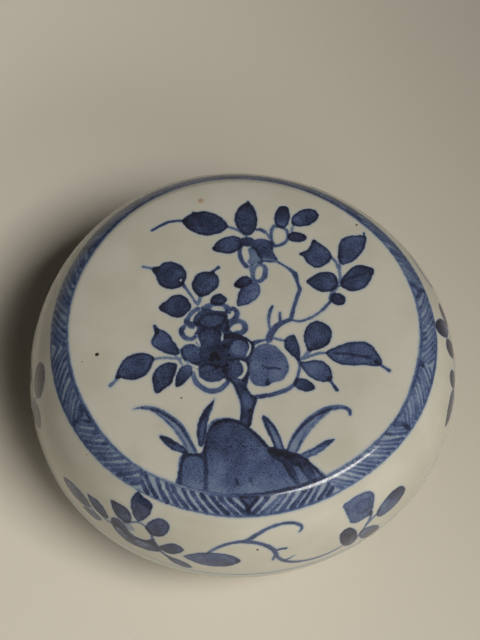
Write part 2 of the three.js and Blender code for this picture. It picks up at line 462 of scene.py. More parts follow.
def paint_grass(s):
    # left: a long blade arching outwards, an upright one and a short one
    s.area([(-17.8, -17.7), (-15.0, -17.5), (-12.2, -18.4), (-10.0, -19.8), (-8.2, -21.8), (-6.4, -24.6),
            (-7.8, -24.9), (-8.8, -23.2), (-10.6, -21.2), (-12.8, -19.4), (-15.0, -18.1)],
           tone=0.34, pool=0.1)
    s.stroke([(-18.3, -17.9), (-16.6, -17.4), (-14.6, -17.5), (-12.2, -18.5), (-10.0, -19.9), (-8.4, -21.8),
              (-7.1, -23.8), (-6.2, -25.0)],
             [0.3, 0.55, 0.75, 0.85, 0.85, 0.8, 0.65, 0.5], [0.5, 0.66, 0.76, 0.76, 0.74, 0.66, 0.55, 0.45])
    s.stroke([(-15.0, -17.9), (-13.0, -19.2), (-10.8, -21.0), (-9.0, -23.2), (-8.0, -24.8)],
             [0.3, 0.4, 0.45, 0.5, 0.5], [0.45, 0.5, 0.55, 0.5, 0.4])
    s.area([(-4.5, -14.8), (-5.9, -16.8), (-6.7, -19.0), (-6.7, -21.4), (-6.0, -23.6), (-5.3, -23.4),
            (-5.1, -20.5), (-4.9, -17.8), (-4.4, -16.0)],
           tone=0.56, pool=0.14)
    s.stroke([(-4.3, -14.4), (-4.8, -15.6), (-5.6, -17.0), (-6.3, -19.0), (-6.5, -21.0), (-6.1, -23.2)],
             [0.3, 0.6, 0.8, 0.6, 0.5, 0.4], [0.5, 0.6, 0.7, 0.6, 0.5, 0.4])
    s.area([(-13.0, -22.4), (-11.6, -22.6), (-9.8, -23.4), (-8.0, -24.6), (-8.6, -25.2), (-10.6, -24.8),
            (-12.2, -23.7), (-13.1, -22.9)],
           tone=0.56, pool=0.16)
    s.stroke([(-12.9, -22.6), (-11.6, -23.1), (-10.3, -23.7)], [0.7, 0.9, 0.5], [0.8, 0.7, 0.5])
    # right: a long blade that hooks over, a short one leaning in and a short one leaning out
    s.area([(9.2, -23.2), (9.9, -20.6), (11.2, -18.0), (13.0, -15.8), (15.0, -14.2), (17.0, -13.4),
            (15.2, -15.0), (13.4, -17.2), (12.1, -19.6), (11.0, -22.8)],
           tone=0.34, pool=0.1)
    s.stroke([(9.3, -23.2), (9.9, -20.8), (11.1, -18.3), (12.9, -16.0), (15.0, -14.3), (17.0, -13.4),
              (18.7, -13.1), (19.7, -13.5), (19.95, -14.3)],
             [0.4, 0.55, 0.7, 0.85, 1.05, 0.95, 0.8, 0.75, 0.45],
             [0.5, 0.62, 0.72, 0.75, 0.8, 0.82, 0.84, 0.88, 0.8])
    s.stroke([(11.1, -22.6), (12.0, -20.2), (13.2, -17.9), (14.8, -15.7), (16.0, -14.4)],
             [0.4, 0.5, 0.55, 0.6, 0.5], [0.5, 0.56, 0.6, 0.62, 0.6])
    s.area([(4.5, -16.8), (5.2, -18.6), (6.4, -20.8), (7.4, -22.6), (8.8, -22.4), (8.2, -20.6),
            (6.9, -18.4), (5.3, -16.7)],
           tone=0.42, pool=0.2)
    s.stroke([(4.8, -17.0), (5.3, -18.3), (6.3, -20.2), (7.3, -22.3)], [0.8, 0.7, 0.45, 0.4],
             [0.9, 0.66, 0.56, 0.5])
    s.stroke([(4.9, -16.9), (6.2, -18.0), (7.6, -19.8), (8.6, -22.0)], [0.6, 0.6, 0.5, 0.4],
             [0.85, 0.62, 0.54, 0.5])
    s.area([(17.6, -19.3), (16.0, -19.9), (14.0, -21.4), (12.0, -22.8), (12.4, -23.6), (14.2, -22.9),
            (15.8, -21.6), (17.0, -20.2)],
           tone=0.44, pool=0.14)
    s.stroke([(17.4, -19.4), (16.2, -20.1), (14.8, -21.1), (13.4, -22.2)], [0.5, 0.8, 0.6, 0.4],
             [0.6, 0.5, 0.45, 0.4])
    # the dark foot where the right clump meets the rock
    s.area([(6.0, -22.6), (7.4, -22.0), (9.0, -22.3), (10.6, -22.6), (12.4, -23.2), (13.4, -24.1),
            (11.6, -24.9), (9.6, -24.6), (7.8, -24.3), (6.4, -23.6)],
           tone=0.66, pool=0.0)
    s.tint([(6.2, -22.8), (9.0, -22.5), (12.2, -23.2), (13.2, -24.1), (11.4, -25.2), (9.2, -25.0),
            (7.0, -24.2)], 0.72)
    s.tint([(8.2, -24.0), (10.2, -24.4), (11.4, -26.4), (12.2, -28.4), (11.2, -27.8), (9.8, -26.2)], 0.65)
    s.tint([(10.6, -24.0), (12.8, -24.0), (14.6, -25.8), (15.4, -28.0), (14.4, -27.4), (12.8, -26.0)], 0.65)
    for x, y, size, tone in ((6.8, -22.9, 0.7, 0.9), (8.2, -23.3, 0.8, 0.95), (9.8, -23.6, 0.6, 0.95)):
        s.stroke([(x - 0.5, y - 0.15), (x + 0.5, y + 0.1)], size, tone)


def paint_trunk(s):
    s.area([(-2.4, -10.0), (-1.3, -11.2), (-0.5, -12.6), (0.2, -14.2), (0.6, -16.0), (0.7, -18.4),
            (2.4, -19.0), (2.7, -17.0), (2.9, -15.2), (3.2, -13.6), (2.2, -12.8), (1.2, -11.6),
            (0.9, -10.2)],
           tone=0.64, pool=0.1, fade=((0, 1), -0.04))
    s.stroke([(-2.3, -10.1), (-1.2, -11.2), (-0.4, -12.7), (0.3, -14.4), (0.7, -16.2), (0.8, -18.2)],
             [0.5, 0.6, 0.6, 0.55, 0.5, 0.5], [0.6, 0.6, 0.5, 0.55, 0.5, 0.6])
    s.stroke([(2.9, -13.4), (2.7, -15.0), (2.5, -17.0), (2.2, -19.0)], [0.5, 0.5, 0.45, 0.7],
             [0.5, 0.6, 0.5, 0.7])
    s.dot((2.4, -15.9), 0.8, 0.95)
    s.stroke([(2.2, -13.1), (3.2, -13.1), (5.0, -12.6), (6.8, -11.9), (8.4, -11.0), (9.5, -9.9),
              (9.9, -8.8)],
             [0.5, 0.85, 0.8, 0.85, 0.8, 0.7, 0.5], [0.85, 0.95, 0.95, 0.9, 0.9, 0.85, 0.8])
    # the branch that leaves the bloom upwards, its twigs, and the two stems that it parts into
    s.stroke([(4.2, -1.6), (4.5, -0.3), (5.1, 0.8), (5.9, 1.8), (6.9, 2.5), (7.8, 2.9)],
             [1.4, 1.35, 1.2, 1.05, 0.85, 0.75], [0.86, 0.84, 0.86, 0.92, 0.95, 0.95])
    s.stroke([(5.7, 4.1), (5.75, 3.2), (6.0, 2.2)], [0.35, 0.5, 0.8], [0.8, 0.9, 0.9])
    s.stroke([(4.2, 5.2), (3.9, 4.2), (3.75, 3.0), (3.9, 1.6), (4.3, 0.3)],
             [0.5, 0.6, 0.6, 0.5, 0.5], [0.98, 0.9, 0.82, 0.8, 0.78])
    s.stroke([(7.8, 2.9), (8.0, 4.6), (8.25, 6.2), (8.6, 8.0), (8.9, 9.3)],
             [0.8, 0.7, 0.7, 0.75, 0.8], [0.92, 0.9, 0.92, 0.92, 0.95])
    s.stroke([(8.9, 9.4), (8.3, 10.9), (7.7, 12.4), (6.6, 13.4), (5.3, 14.1), (4.2, 14.7)],
             [0.8, 0.65, 0.9, 0.6, 0.5, 0.45], [0.95, 0.92, 0.98, 0.88, 0.84, 0.8])
    s.dot((7.65, 12.6), 0.95, 0.98)
    s.stroke([(4.6, 14.6), (3.4, 14.5), (2.2, 14.4), (1.2, 14.1), (0.7, 13.6)], 0.35, 0.66)
    s.stroke([(7.9, 2.9), (9.3, 2.8), (10.6, 3.3), (12.0, 4.3), (13.3, 5.6), (14.3, 7.0), (14.9, 8.0)],
             [0.5, 0.45, 0.5, 0.5, 0.55, 0.6, 0.7], [0.9, 0.82, 0.84, 0.84, 0.88, 0.9, 0.9])


def paint_lobe(s):
    """The big pale petal at the right of the bloom, in its white ring."""
    s.area([(3.6, -2.5), (5.0, -2.6), (6.5, -3.5), (7.6, -4.8), (8.25, -6.2), (8.1, -8.0), (7.2, -9.4),
            (5.6, -10.1), (4.4, -10.9), (3.0, -11.0), (1.9, -10.4), (1.3, -9.0), (1.1, -7.0), (1.3, -5.0),
            (1.9, -3.6), (2.7, -2.8)],
           tone=0.48, pool=0.04)
    s.stroke([(3.6, -6.9), (4.6, -7.3), (5.6, -7.1), (6.8, -7.2)], [0.3, 0.5, 0.5, 0.3], 0.7)
    s.stroke([(4.7, -9.4), (4.75, -10.4)], [0.4, 0.8], [0.5, 1.0])
    s.stroke([(0.3, -2.4), (1.2, -2.8), (2.2, -2.3), (3.4, -1.8), (4.6, -1.4)], [0.8, 0.95, 0.8, 0.5, 0.5],
             [0.92, 0.92, 0.86, 0.8, 0.74])
    s.stroke([(5.0, -1.2), (6.0, -1.4), (7.0, -1.5)], [0.5, 0.45, 0.5], 0.72)
    s.stroke([(10.0, -5.2), (10.2, -6.4), (10.1, -7.8), (9.9, -9.0)], [0.6, 0.5, 0.5, 0.6], 0.8)


def paint_bloom(s):
    """Two flowers, one above the other: dark grounds first, then paler petals, then the white rims."""
    s.area([(-11.3, -5.4), (-10.4, -4.4), (-9.0, -4.3), (-8.0, -4.9), (-8.9, -3.6), (-9.3, -2.4),
            (-8.9, -0.9), (-9.8, 0.4), (-9.4, 1.9), (-7.8, 3.2), (-5.6, 3.6), (-3.9, 3.2),
            (-3.4, 0.6), (-2.9, -0.6),
            (-0.8, -1.4), (0.8, -2.2), (1.8, -3.2), (1.7, -4.8), (1.4, -6.4), (1.3, -8.2), (1.2, -10.2),
            (-0.4, -10.8), (-2.4, -10.6), (-3.4, -11.0), (-5.4, -11.3), (-7.4, -10.6), (-7.9, -9.2),
            (-9.4, -8.6), (-10.7, -7.2)],
           tone=0.65, pool=0.04)
    petals = (
        [(-8.7, 0.3), (-7.9, 1.4), (-6.3, 2.0), (-4.4, 1.8), (-4.9, 0.4), (-6.8, -0.3)],
        [(-8.2, -2.4), (-7.6, -1.3), (-6.5, -0.9), (-5.2, -1.3), (-4.6, -2.3), (-5.2, -3.7), (-6.5, -4.1),
         (-7.6, -3.5)],
        [(-10.9, -5.5), (-10.0, -4.8), (-8.9, -4.8), (-8.0, -5.5), (-7.8, -6.8), (-8.6, -7.5), (-9.8, -7.2),
         (-10.7, -6.5)],
        [(-2.5, -4.2), (-2.3, -3.1), (-1.2, -2.4), (0.2, -2.7), (0.6, -3.8), (0.3, -5.0), (-0.9, -5.5),
         (-2.1, -5.1)],
        [(-2.4, -7.9), (-1.9, -7.1), (-0.8, -6.9), (-0.1, -7.6), (-0.4, -8.8), (-1.4, -9.3), (-2.3, -8.8)],
        [(-7.4, -9.0), (-6.3, -8.2), (-4.5, -8.2), (-3.1, -8.9), (-3.3, -10.0), (-4.7, -10.5),
         (-6.5, -10.3)],
    )
    for petal, tone in zip(petals, (0.6, 0.6, 0.6, 0.56, 0.6, 0.6)):
        s.tint(petal, tone)
    pale = (
        [(-9.3, -2.7), (-8.8, -3.6), (-8.0, -4.4), (-8.3, -3.2), (-8.8, -2.2)],
        [(-4.5, -1.0), (-3.9, -1.9), (-4.1, -3.0), (-4.5, -2.6), (-4.4, -1.8)],
        [(-10.3, -7.8), (-9.1, -8.6), (-7.8, -9.1), (-7.8, -8.6), (-9.1, -8.0), (-10.1, -7.4)],
        [(0.4, -2.3), (1.1, -3.1), (1.2, -4.1), (0.7, -5.4), (0.4, -5.4), (0.8, -4.1), (0.7, -3.3)],
        [(-0.5, -6.4), (0.7, -7.0), (0.9, -8.3), (0.4, -9.7), (-0.8, -10.4), (-1.8, -10.4), (-0.5, -9.7),
         (0.2, -8.7), (0.1, -7.6)],
        [(-7.8, -10.4), (-6.8, -11.0), (-5.4, -11.3), (-4.0, -11.0), (-2.9, -10.3), (-3.1, -11.5),
         (-5.3, -12.5), (-7.1, -12.0)],
        [(-7.0, 3.2), (-6.0, 3.7), (-4.9, 3.6), (-4.3, 3.2), (-5.4, 3.1)],
    )
    for rim in pale:
        s.lift(rim)
    s.tint([(-7.6, -5.2), (-6.2, -4.2), (-4.2, -4.2), (-3.0, -5.6), (-3.2, -7.4), (-4.8, -8.3),
            (-6.6, -7.9),
            (-7.8, -6.8)],
           0.71)
    for x, y, size in ((-5.2, -6.0, 1.5), (-5.6, -6.9, 0.8), (-4.4, -6.6, 0.6), (-2.9, -7.6, 0.6),
                       (-3.1, -8.9, 0.6), (-4.6, -8.3, 0.5), (-3.6, -3.9, 0.7), (-2.7, -5.6, 0.5)):
        s.dot((x, y), size, 1.45)
    # the drawn lines around the petals
    s.stroke([(-8.9, 0.1), (-8.0, 1.7), (-6.3, 2.3), (-4.2, 2.1), (-4.3, 0.9)], 0.45, 0.62)
    s.stroke([(-8.8, -0.1), (-6.9, -0.7), (-5.0, 0.0), (-4.2, 1.0)], 0.45, 0.64)
    s.stroke([(-8.4, -3.0), (-8.1, -1.4), (-6.7, -0.7), (-5.0, -1.0), (-4.6, -1.6)], 0.45, 0.6)
    s.stroke([(-2.9, -4.6), (-2.6, -2.9), (-1.2, -2.0), (0.5, -2.2), (1.4, -3.2), (1.3, -4.6), (0.8, -5.8)],
             [0.5, 0.5, 0.45, 0.5, 0.5, 0.45, 0.45], 0.6)
    s.stroke([(-2.8, -6.6), (-1.2, -6.3), (0.4, -6.2), (1.1, -7.4), (1.1, -9.0), (0.5, -10.2)],
             [0.4, 0.4, 0.4, 0.45, 0.5, 0.6], 0.6)
    s.stroke([(-11.3, -5.6), (-10.9, -6.9), (-10.0, -7.6), (-8.6, -8.0), (-7.6, -7.6)], 0.45, 0.6)
    s.stroke([(-7.8, -8.9), (-6.4, -7.9), (-4.6, -7.9), (-3.0, -8.5), (-2.7, -9.8)], 0.45, 0.62)
    s.stroke([(-8.6, -9.9), (-8.1, -11.3), (-7.0, -12.4), (-5.2, -13.0), (-3.6, -12.5), (-2.5, -11.2),
              (-2.1, -10.4)],
             [0.8, 0.95, 1.0, 1.05, 1.0, 0.9, 0.8], [0.75, 0.8, 0.8, 0.85, 0.85, 0.85, 0.9])
    s.stroke([(-8.3, 3.3), (-7.0, 4.1), (-5.1, 4.4), (-3.9, 3.9), (-3.5, 3.0)],
             [0.8, 0.9, 0.85, 0.9, 0.8], 0.84)
    # loops of petals seen from the side
    s.stroke([(-3.6, 3.4), (-2.8, 3.8), (-2.1, 3.2), (-2.1, 2.2), (-2.7, 1.5), (-3.4, 1.1)],
             [0.7, 0.9, 1.0, 1.0, 0.9, 0.8], 0.9)
    s.stroke([(-3.5, -0.4), (-3.0, 0.6), (-1.8, 1.4), (-0.7, 1.1), (-0.3, 0.1), (-0.8, -0.8), (-1.8, -1.0)],
             [0.9, 0.95, 0.95, 1.0, 1.1, 1.0, 0.9], 0.9)
    s.stroke([(-3.6, -2.0), (-2.6, -1.7), (-1.2, -1.8), (0.0, -2.1)], [0.9, 1.1, 1.0, 0.9], 0.9)
    s.stroke([(-9.2, 3.0), (-10.1, 2.2), (-10.7, 1.1), (-10.9, 0.1), (-10.0, -0.3), (-9.1, 0.0)],
             [0.9, 0.95, 0.9, 1.1, 1.0, 0.8], [0.8, 0.8, 0.85, 1.0, 1.0, 0.9])
    s.stroke([(-11.2, -0.7), (-11.7, -1.8), (-11.1, -2.9), (-9.9, -3.3), (-9.0, -2.7)],
             [0.7, 1.0, 0.95, 0.85, 0.7], [0.8, 1.0, 0.9, 0.8, 0.8])
    s.stroke([(-10.9, -0.2), (-10.4, -0.8), (-9.6, -0.9)], 0.5, 0.8)


def paint_top_blossom(s):
    # the small blossom high on the tree and the open rings beside it
    s.area([(-0.6, 18.3), (0.2, 19.0), (1.6, 19.2), (2.8, 18.8), (3.2, 17.8), (3.4, 16.5), (4.2, 15.2),
            (3.6, 14.7), (2.0, 14.9), (0.5, 15.0), (0.2, 16.2), (-0.7, 17.3)],
           tone=0.6, pool=0.1)
    s.area([(-2.9, 18.7), (-1.4, 19.3), (-0.4, 18.6), (-0.6, 17.5), (-1.8, 17.2), (-2.9, 17.4)],
           tone=0.66, pool=0.06)
    s.area([(-1.3, 16.6), (-0.5, 16.9), (0.3, 16.0), (0.9, 14.9), (0.5, 13.8), (-0.4, 13.3), (-1.2, 13.9),
            (-0.9, 15.0), (-1.2, 15.9)],
           tone=0.44, pool=0.06)
    s.area([(0.2, 15.2), (1.6, 15.4), (3.2, 15.6), (4.2, 15.2), (3.4, 14.5), (1.8, 14.2), (0.6, 13.7),
            (0.4, 14.4)],
           tone=0.46, pool=0.06)
    s.stroke([(-2.7, 17.3), (-2.85, 16.0), (-2.6, 14.7), (-2.0, 13.6), (-1.3, 12.95)],
             [0.7, 0.75, 0.8, 0.85, 0.9], [0.8, 0.85, 0.9, 0.92, 0.92])
    s.stroke([(-1.3, 12.95), (-0.6, 13.0), (-0.1, 13.3)], 0.4, 0.7)
    s.stroke([(-0.7, 17.1), (0.2, 16.6), (0.9, 15.6), (1.4, 14.6)], [0.4, 0.5, 0.5, 0.4], 0.7)
    s.stroke([(-0.2, 21.0), (0.5, 21.15), (1.4, 20.7)], [0.5, 0.7, 0.7], [0.8, 0.9, 0.86])
    s.stroke([(1.4, 20.7), (2.0, 20.2), (2.4, 19.4)], 0.5, 0.7)
    s.stroke([(3.0, 22.3), (2.6, 21.2), (2.6, 20.0), (2.9, 18.9), (3.5, 18.0)],
             [0.65, 0.6, 0.65, 0.6, 0.55], [0.86, 0.8, 0.8, 0.84, 0.84])
    s.stroke([(3.4, 17.9), (4.5, 18.3), (5.4, 19.1), (5.75, 20.3), (5.4, 21.6), (4.4, 22.2), (3.2, 22.2)],
             [0.65, 0.65, 0.65, 0.6, 0.65, 0.65, 0.65], [0.84, 0.84, 0.86, 0.84, 0.82, 0.8, 0.84])
    s.stroke([(0.9, 13.6), (1.9, 13.4), (2.3, 12.2), (2.1, 10.9), (1.2, 10.1), (0.3, 10.3), (0.0, 11.4),
              (0.2, 12.7), (0.9, 13.6)],
             [0.75, 0.8, 1.0, 1.0, 0.8, 0.8, 0.85, 0.75, 0.75],
             [0.72, 0.78, 0.9, 0.9, 0.8, 0.84, 0.78, 0.7, 0.72])
    s.stroke([(-0.1, 11.6), (-0.4, 12.2), (-0.2, 13.0)], 0.6, 0.7)


def paint_leaves(s):
    stem = dict(width=0.52, tone=0.72)
    # top left: the leaf with the long tail, one upright, one leaning down
    s.leaf((-5.5, 21.0), (-14.2, 21.4), 2.6, 2.7, blunt=(0.75, 0.75), tone=0.66,
           tail=[(-15.2, 21.2), (-16.8, 20.7), (-18.2, 19.7), (-19.5, 18.6)])
    s.dot((-12.3, 23.3), 0.6)
    s.stroke([(-5.6, 21.0), (-4.4, 20.7), (-3.0, 20.1), (-2.0, 19.4)], **stem)
    s.leaf((-1.5, 19.6), (-2.4, 26.9), 2.3, 1.9, blunt=(0.6, 0.62), bend=0.25, tail=[(-2.4, 27.1)])
    s.leaf((-2.6, 18.2), (-7.9, 15.8), 1.7, 1.9, blunt=(0.5, 0.7), bend=0.2, tone=0.64)
    s.dot((-7.6, 15.95), 0.75)
    # top right: two rounded petals and a small leaf on one stalk
    s.leaf((4.3, 22.0), (4.5, 27.1), 1.45, 1.4, blunt=(0.35, 0.42), bend=0.05, tone=0.66)
    s.leaf((6.2, 23.3), (10.8, 26.6), 1.8, 1.75, blunt=(0.55, 0.45), tone=0.64, pool=0.34)
    s.stroke([(6.5, 23.6), (6.5, 22.8), (6.3, 21.8)], width=0.6, tone=0.5)
    s.leaf((5.7, 20.3), (9.3, 20.6), 1.05, 1.05, blunt=(0.4, 0.5), tone=0.72)
    s.dot((8.9, 25.2), 0.4)
    # under the small blossom: a pair
    s.leaf((-0.1, 10.3), (-3.1, 8.5), 1.15, 1.2, blunt=(0.45, 0.65), tone=0.7)
    s.dot((-2.8, 8.8), 0.7)
    s.leaf((1.2, 9.5), (-2.1, 4.4), 1.75, 1.7, blunt=(0.6, 0.85), tone=0.5, pool=0.24, bend=-0.1)
    # right cluster
    s.area([(10.5, 20.3), (12.2, 19.5), (13.6, 18.4), (14.2, 17.0), (13.6, 15.6), (12.5, 14.7),
            (11.3, 14.4),
            (10.0, 15.0), (9.0, 16.2), (8.2, 16.9), (9.5, 17.9), (10.1, 19.0)],
           tone=0.6, pool=0.32)
    s.dot((10.7, 20.0), 0.8, 0.9)
    s.dot((8.5, 16.9), 0.6, 0.9)
    s.area([(16.1, 15.8), (15.5, 17.5), (15.3, 19.5), (15.8, 21.2), (17.0, 22.2), (18.5, 22.6),
            (20.0, 22.9),
            (20.4, 22.3), (20.3, 20.5), (19.6, 18.6), (18.6, 17.2), (17.4, 16.2)],
           tone=0.58, pool=0.3)
    s.stroke([(20.0, 22.6), (19.9, 23.4)], 0.55, 0.9)
    s.area([(16.3, 11.3), (16.7, 13.2), (17.8, 15.0), (19.3, 16.1), (20.8, 16.1), (22.2, 15.6),
            (22.0, 14.0),
            (21.3, 12.2), (20.2, 11.0), (18.5, 10.4), (17.1, 10.7)],
           tone=0.6, pool=0.3)
    s.stroke([(16.8, 12.4), (18.6, 13.4), (20.6, 14.4)], [0.2, 0.4, 0.4], 0.4)
    s.area([(15.8, 11.6), (15.4, 13.0), (14.2, 13.8), (12.6, 13.6), (11.4, 12.8), (10.0, 11.2),
            (11.4, 10.0),
            (13.0, 9.4), (14.6, 9.8), (15.6, 10.7)],
           tone=0.62, pool=0.3)
    s.stroke([(14.2, 16.9), (15.1, 16.1), (15.6, 14.9)], **stem)
    s.stroke([(15.5, 17.4), (15.8, 15.8), (15.9, 14.4)], **stem)
    s.stroke([(15.8, 14.6), (16.1, 13.0), (16.2, 11.6)], width=0.6, tone=0.6)
    s.stroke([(15.9, 11.0), (16.6, 11.4)], 0.35, 0.9)
    s.stroke([(15.6, 10.9), (15.0, 9.6), (14.7, 8.2)], [0.9, 0.9, 0.8], [0.62, 0.68, 0.8])
    s.leaf((14.7, 8.5), (17.4, 8.2), 1.2, 1.2, blunt=(0.4, 0.4), tone=0.72, pool=0.16)
    # upper left cluster
    s.area([(-12.1, 9.2), (-12.4, 10.6), (-13.5, 11.8), (-15.0, 12.2), (-16.4, 11.9), (-17.3, 11.0),
            (-18.5, 10.4), (-17.6, 8.8), (-16.7, 7.2), (-15.2, 6.5), (-13.7, 6.7), (-12.5, 7.7)],
           tone=0.66, pool=0.3)
    s.lift([(-13.2, 8.4), (-12.9, 8.3), (-12.75, 8.7), (-13.0, 9.0)])  # a small white spot left unpainted on the leaf
    s.stroke([(-17.6, 10.4), (-18.8, 10.45), (-20.2, 10.6)], [1.0, 0.6, 0.5], [0.8, 0.7, 0.7])
    s.stroke([(-12.6, 7.8), (-11.6, 6.6), (-10.6, 5.4), (-9.7, 4.2)], [0.75, 0.5, 0.5, 0.5],
             [0.9, 0.74, 0.7, 0.66])
    s.area([(-9.0, 5.6), (-10.1, 6.2), (-10.8, 7.6), (-10.6, 9.2), (-9.8, 10.5), (-8.4, 10.9), (-7.0, 10.7),
            (-6.2, 9.9), (-6.0, 8.4), (-6.6, 7.2), (-7.7, 6.1)],
           tone=0.64, pool=0.3)
    s.stroke([(-7.4, 10.9), (-6.9, 11.5), (-6.4, 12.0)], [0.7, 0.5, 0.7], 0.94)
    s.stroke([(-9.0, 5.8), (-9.1, 4.9), (-9.3, 4.0)], width=0.7, tone=0.62)
    s.area([(-10.5, 3.2), (-11.3, 4.8), (-12.8, 5.5), (-14.1, 5.1), (-15.1, 4.0), (-16.3, 2.5),
            (-14.9, 1.4),
            (-13.4, 0.8), (-12.0, 1.0), (-11.0, 2.0)],
           tone=0.66, pool=0.3)
    s.area([(-7.2, 4.7), (-6.8, 5.9), (-5.6, 6.6), (-4.8, 6.3), (-4.2, 5.6), (-4.5, 4.7), (-5.4, 4.2),
            (-6.4, 4.2)],
           tone=0.68, pool=0.22)
    # left cluster
    s.area([(-11.7, -6.6), (-13.3, -6.7), (-15.0, -6.2), (-16.5, -5.3), (-16.8, -4.2), (-16.4, -3.0),
            (-16.5, -1.9), (-15.2, -2.0), (-13.8, -2.8), (-12.7, -4.2), (-11.8, -5.4)],
           tone=0.58, pool=0.3)
    s.stroke([(-16.6, -1.4), (-16.2, -2.1), (-16.0, -2.8)], [0.6, 0.9, 0.5], 0.96)
    s.area([(-15.9, -7.8), (-16.7, -7.2), (-18.1, -6.9), (-19.8, -7.4), (-21.2, -8.5), (-21.9, -10.0),
            (-22.3, -12.4), (-21.3, -12.2), (-20.0, -12.4), (-18.3, -12.1), (-17.0, -11.1), (-16.2, -9.5)],
           tone=0.6, pool=0.3)
    s.stroke([(-21.8, -12.0), (-22.3, -12.9), (-23.0, -13.8)], [0.9, 0.6, 0.75], [0.8, 0.7, 0.8])
    s.stroke([(-16.0, -8.0), (-14.6, -7.6), (-12.8, -7.4), (-11.2, -7.4)], [0.6, 0.55, 0.55, 0.5],
             [0.66, 0.62, 0.6, 0.6])
    s.area([(-11.9, -8.4), (-13.7, -8.5), (-15.0, -9.5), (-15.7, -11.0), (-15.6, -12.6), (-14.8, -14.5),
            (-13.4, -13.6), (-12.3, -12.3), (-11.9, -10.8), (-11.7, -9.4)],
           tone=0.64, pool=0.3)
    s.leaf((-9.4, -8.4), (-11.3, -12.9), 1.15, 1.25, blunt=(0.45, 0.7), tone=0.62, pool=0.16)
    s.stroke([(-12.6, -6.6), (-11.6, -7.4), (-10.8, -8.4)], width=0.5, tone=0.6)
    # right cluster of the lower tree
    s.area([(8.5, -0.1), (7.4, -0.8), (7.0, -1.9), (7.3, -3.0), (8.2, -3.9), (9.2, -4.7), (9.9, -5.2),
            (10.1, -3.6), (9.8, -2.2), (9.2, -0.9)],
           tone=0.7, pool=0.1)
    s.area([(11.6, -3.0), (10.8, -1.5), (10.4, 0.2), (10.9, 2.0), (12.2, 3.2), (13.5, 3.2), (14.8, 2.5),
            (15.4, 1.3), (15.3, -0.3), (14.5, -1.6), (13.2, -2.4)],
           tone=0.62, pool=0.28)
    s.stroke([(11.7, -2.9), (11.0, -4.0), (10.2, -4.9)], [0.9, 0.7, 0.6], [0.6, 0.6, 0.7])
    s.area([(14.7, -2.8), (16.4, -1.5), (18.2, -0.4), (20.0, 0.1), (21.5, 0.3), (23.0, -0.3), (23.7, -1.2),
            (24.6, -2.3), (25.0, -3.6), (24.0, -4.2), (22.0, -4.3), (20.0, -4.7), (17.8, -4.8),
            (16.0, -4.2)],
           tone=0.56, pool=0.3)
    s.stroke([(16.2, -2.8), (18.4, -2.6), (20.6, -2.6), (22.6, -2.7)], [0.3, 0.45, 0.45, 0.6],
             [0.56, 0.62, 0.62, 0.7])
    s.area([(22.8, -0.6), (23.8, -1.4), (24.7, -2.5), (25.0, -3.7), (23.6, -3.9), (22.8, -2.6)],
           tone=0.64, pool=0.2)
    s.stroke([(23.9, -3.4), (25.0, -4.0), (26.4, -4.7)], [0.8, 0.6, 0.65], [0.86, 0.94, 0.96])
    s.stroke([(14.8, -2.9), (13.4, -3.2), (12.0, -3.9), (10.9, -4.6)], **stem)
    s.area([(10.2, -5.3), (11.4, -5.1), (12.8, -4.6), (14.3, -4.7), (15.5, -5.5), (16.1, -6.7),
            (16.2, -8.1),
            (15.2, -8.6), (13.8, -8.7), (12.4, -8.2), (11.2, -7.1), (10.4, -6.2)],
           tone=0.54, pool=0.28)
    s.stroke([(15.7, -7.9), (16.4, -8.9), (17.2, -9.9)], [0.8, 0.6, 0.75], [0.84, 0.92, 0.98])
    s.leaf((9.4, -9.3), (13.3, -10.2), 1.2, 1.25, blunt=(0.45, 0.6), tone=0.66, pool=0.16)


def paint_top(s):
    paint_rock(s)
    paint_grass(s)
    paint_lobe(s)
    paint_bloom(s)
    paint_top_blossom(s)
    paint_trunk(s)
    paint_leaves(s)


# ---------------------------------------------------------------- the band and the side
# Degrees around from the front, positive to the right, and millimetres down from the panel's edge.
BAND_TURNS = [-54, -27, 6.5, 33.5, 64.5, 86, 113, 145, 178, 210, 245, 281]
# How a stretch is hatched: degrees between strokes, their width, and their tone at both ends
BAND_MANNERS = {
    "bold": (2.9, 0.85, 0.84, 0.58), "plain": (2.35, 0.8, 0.64, 0.42), "fine": (2.05, 0.6, 0.64, 0.36),
}
HATCH_LEAN = 6.0


def band_inner(u):
    """The inner line wanders: the band was painted a little off centre."""
    t = np.radians(u - 90)
    return 0.25 - 0.6 * np.cos(t) + 0.65 * np.sin(t) - 0.37 * np.cos(2 * t)


def band_outer(u):
    t = np.radians(u)
    return 3.8 - 0.75 * np.sin(t) + 0.12 * np.sin(3 * t + 1)


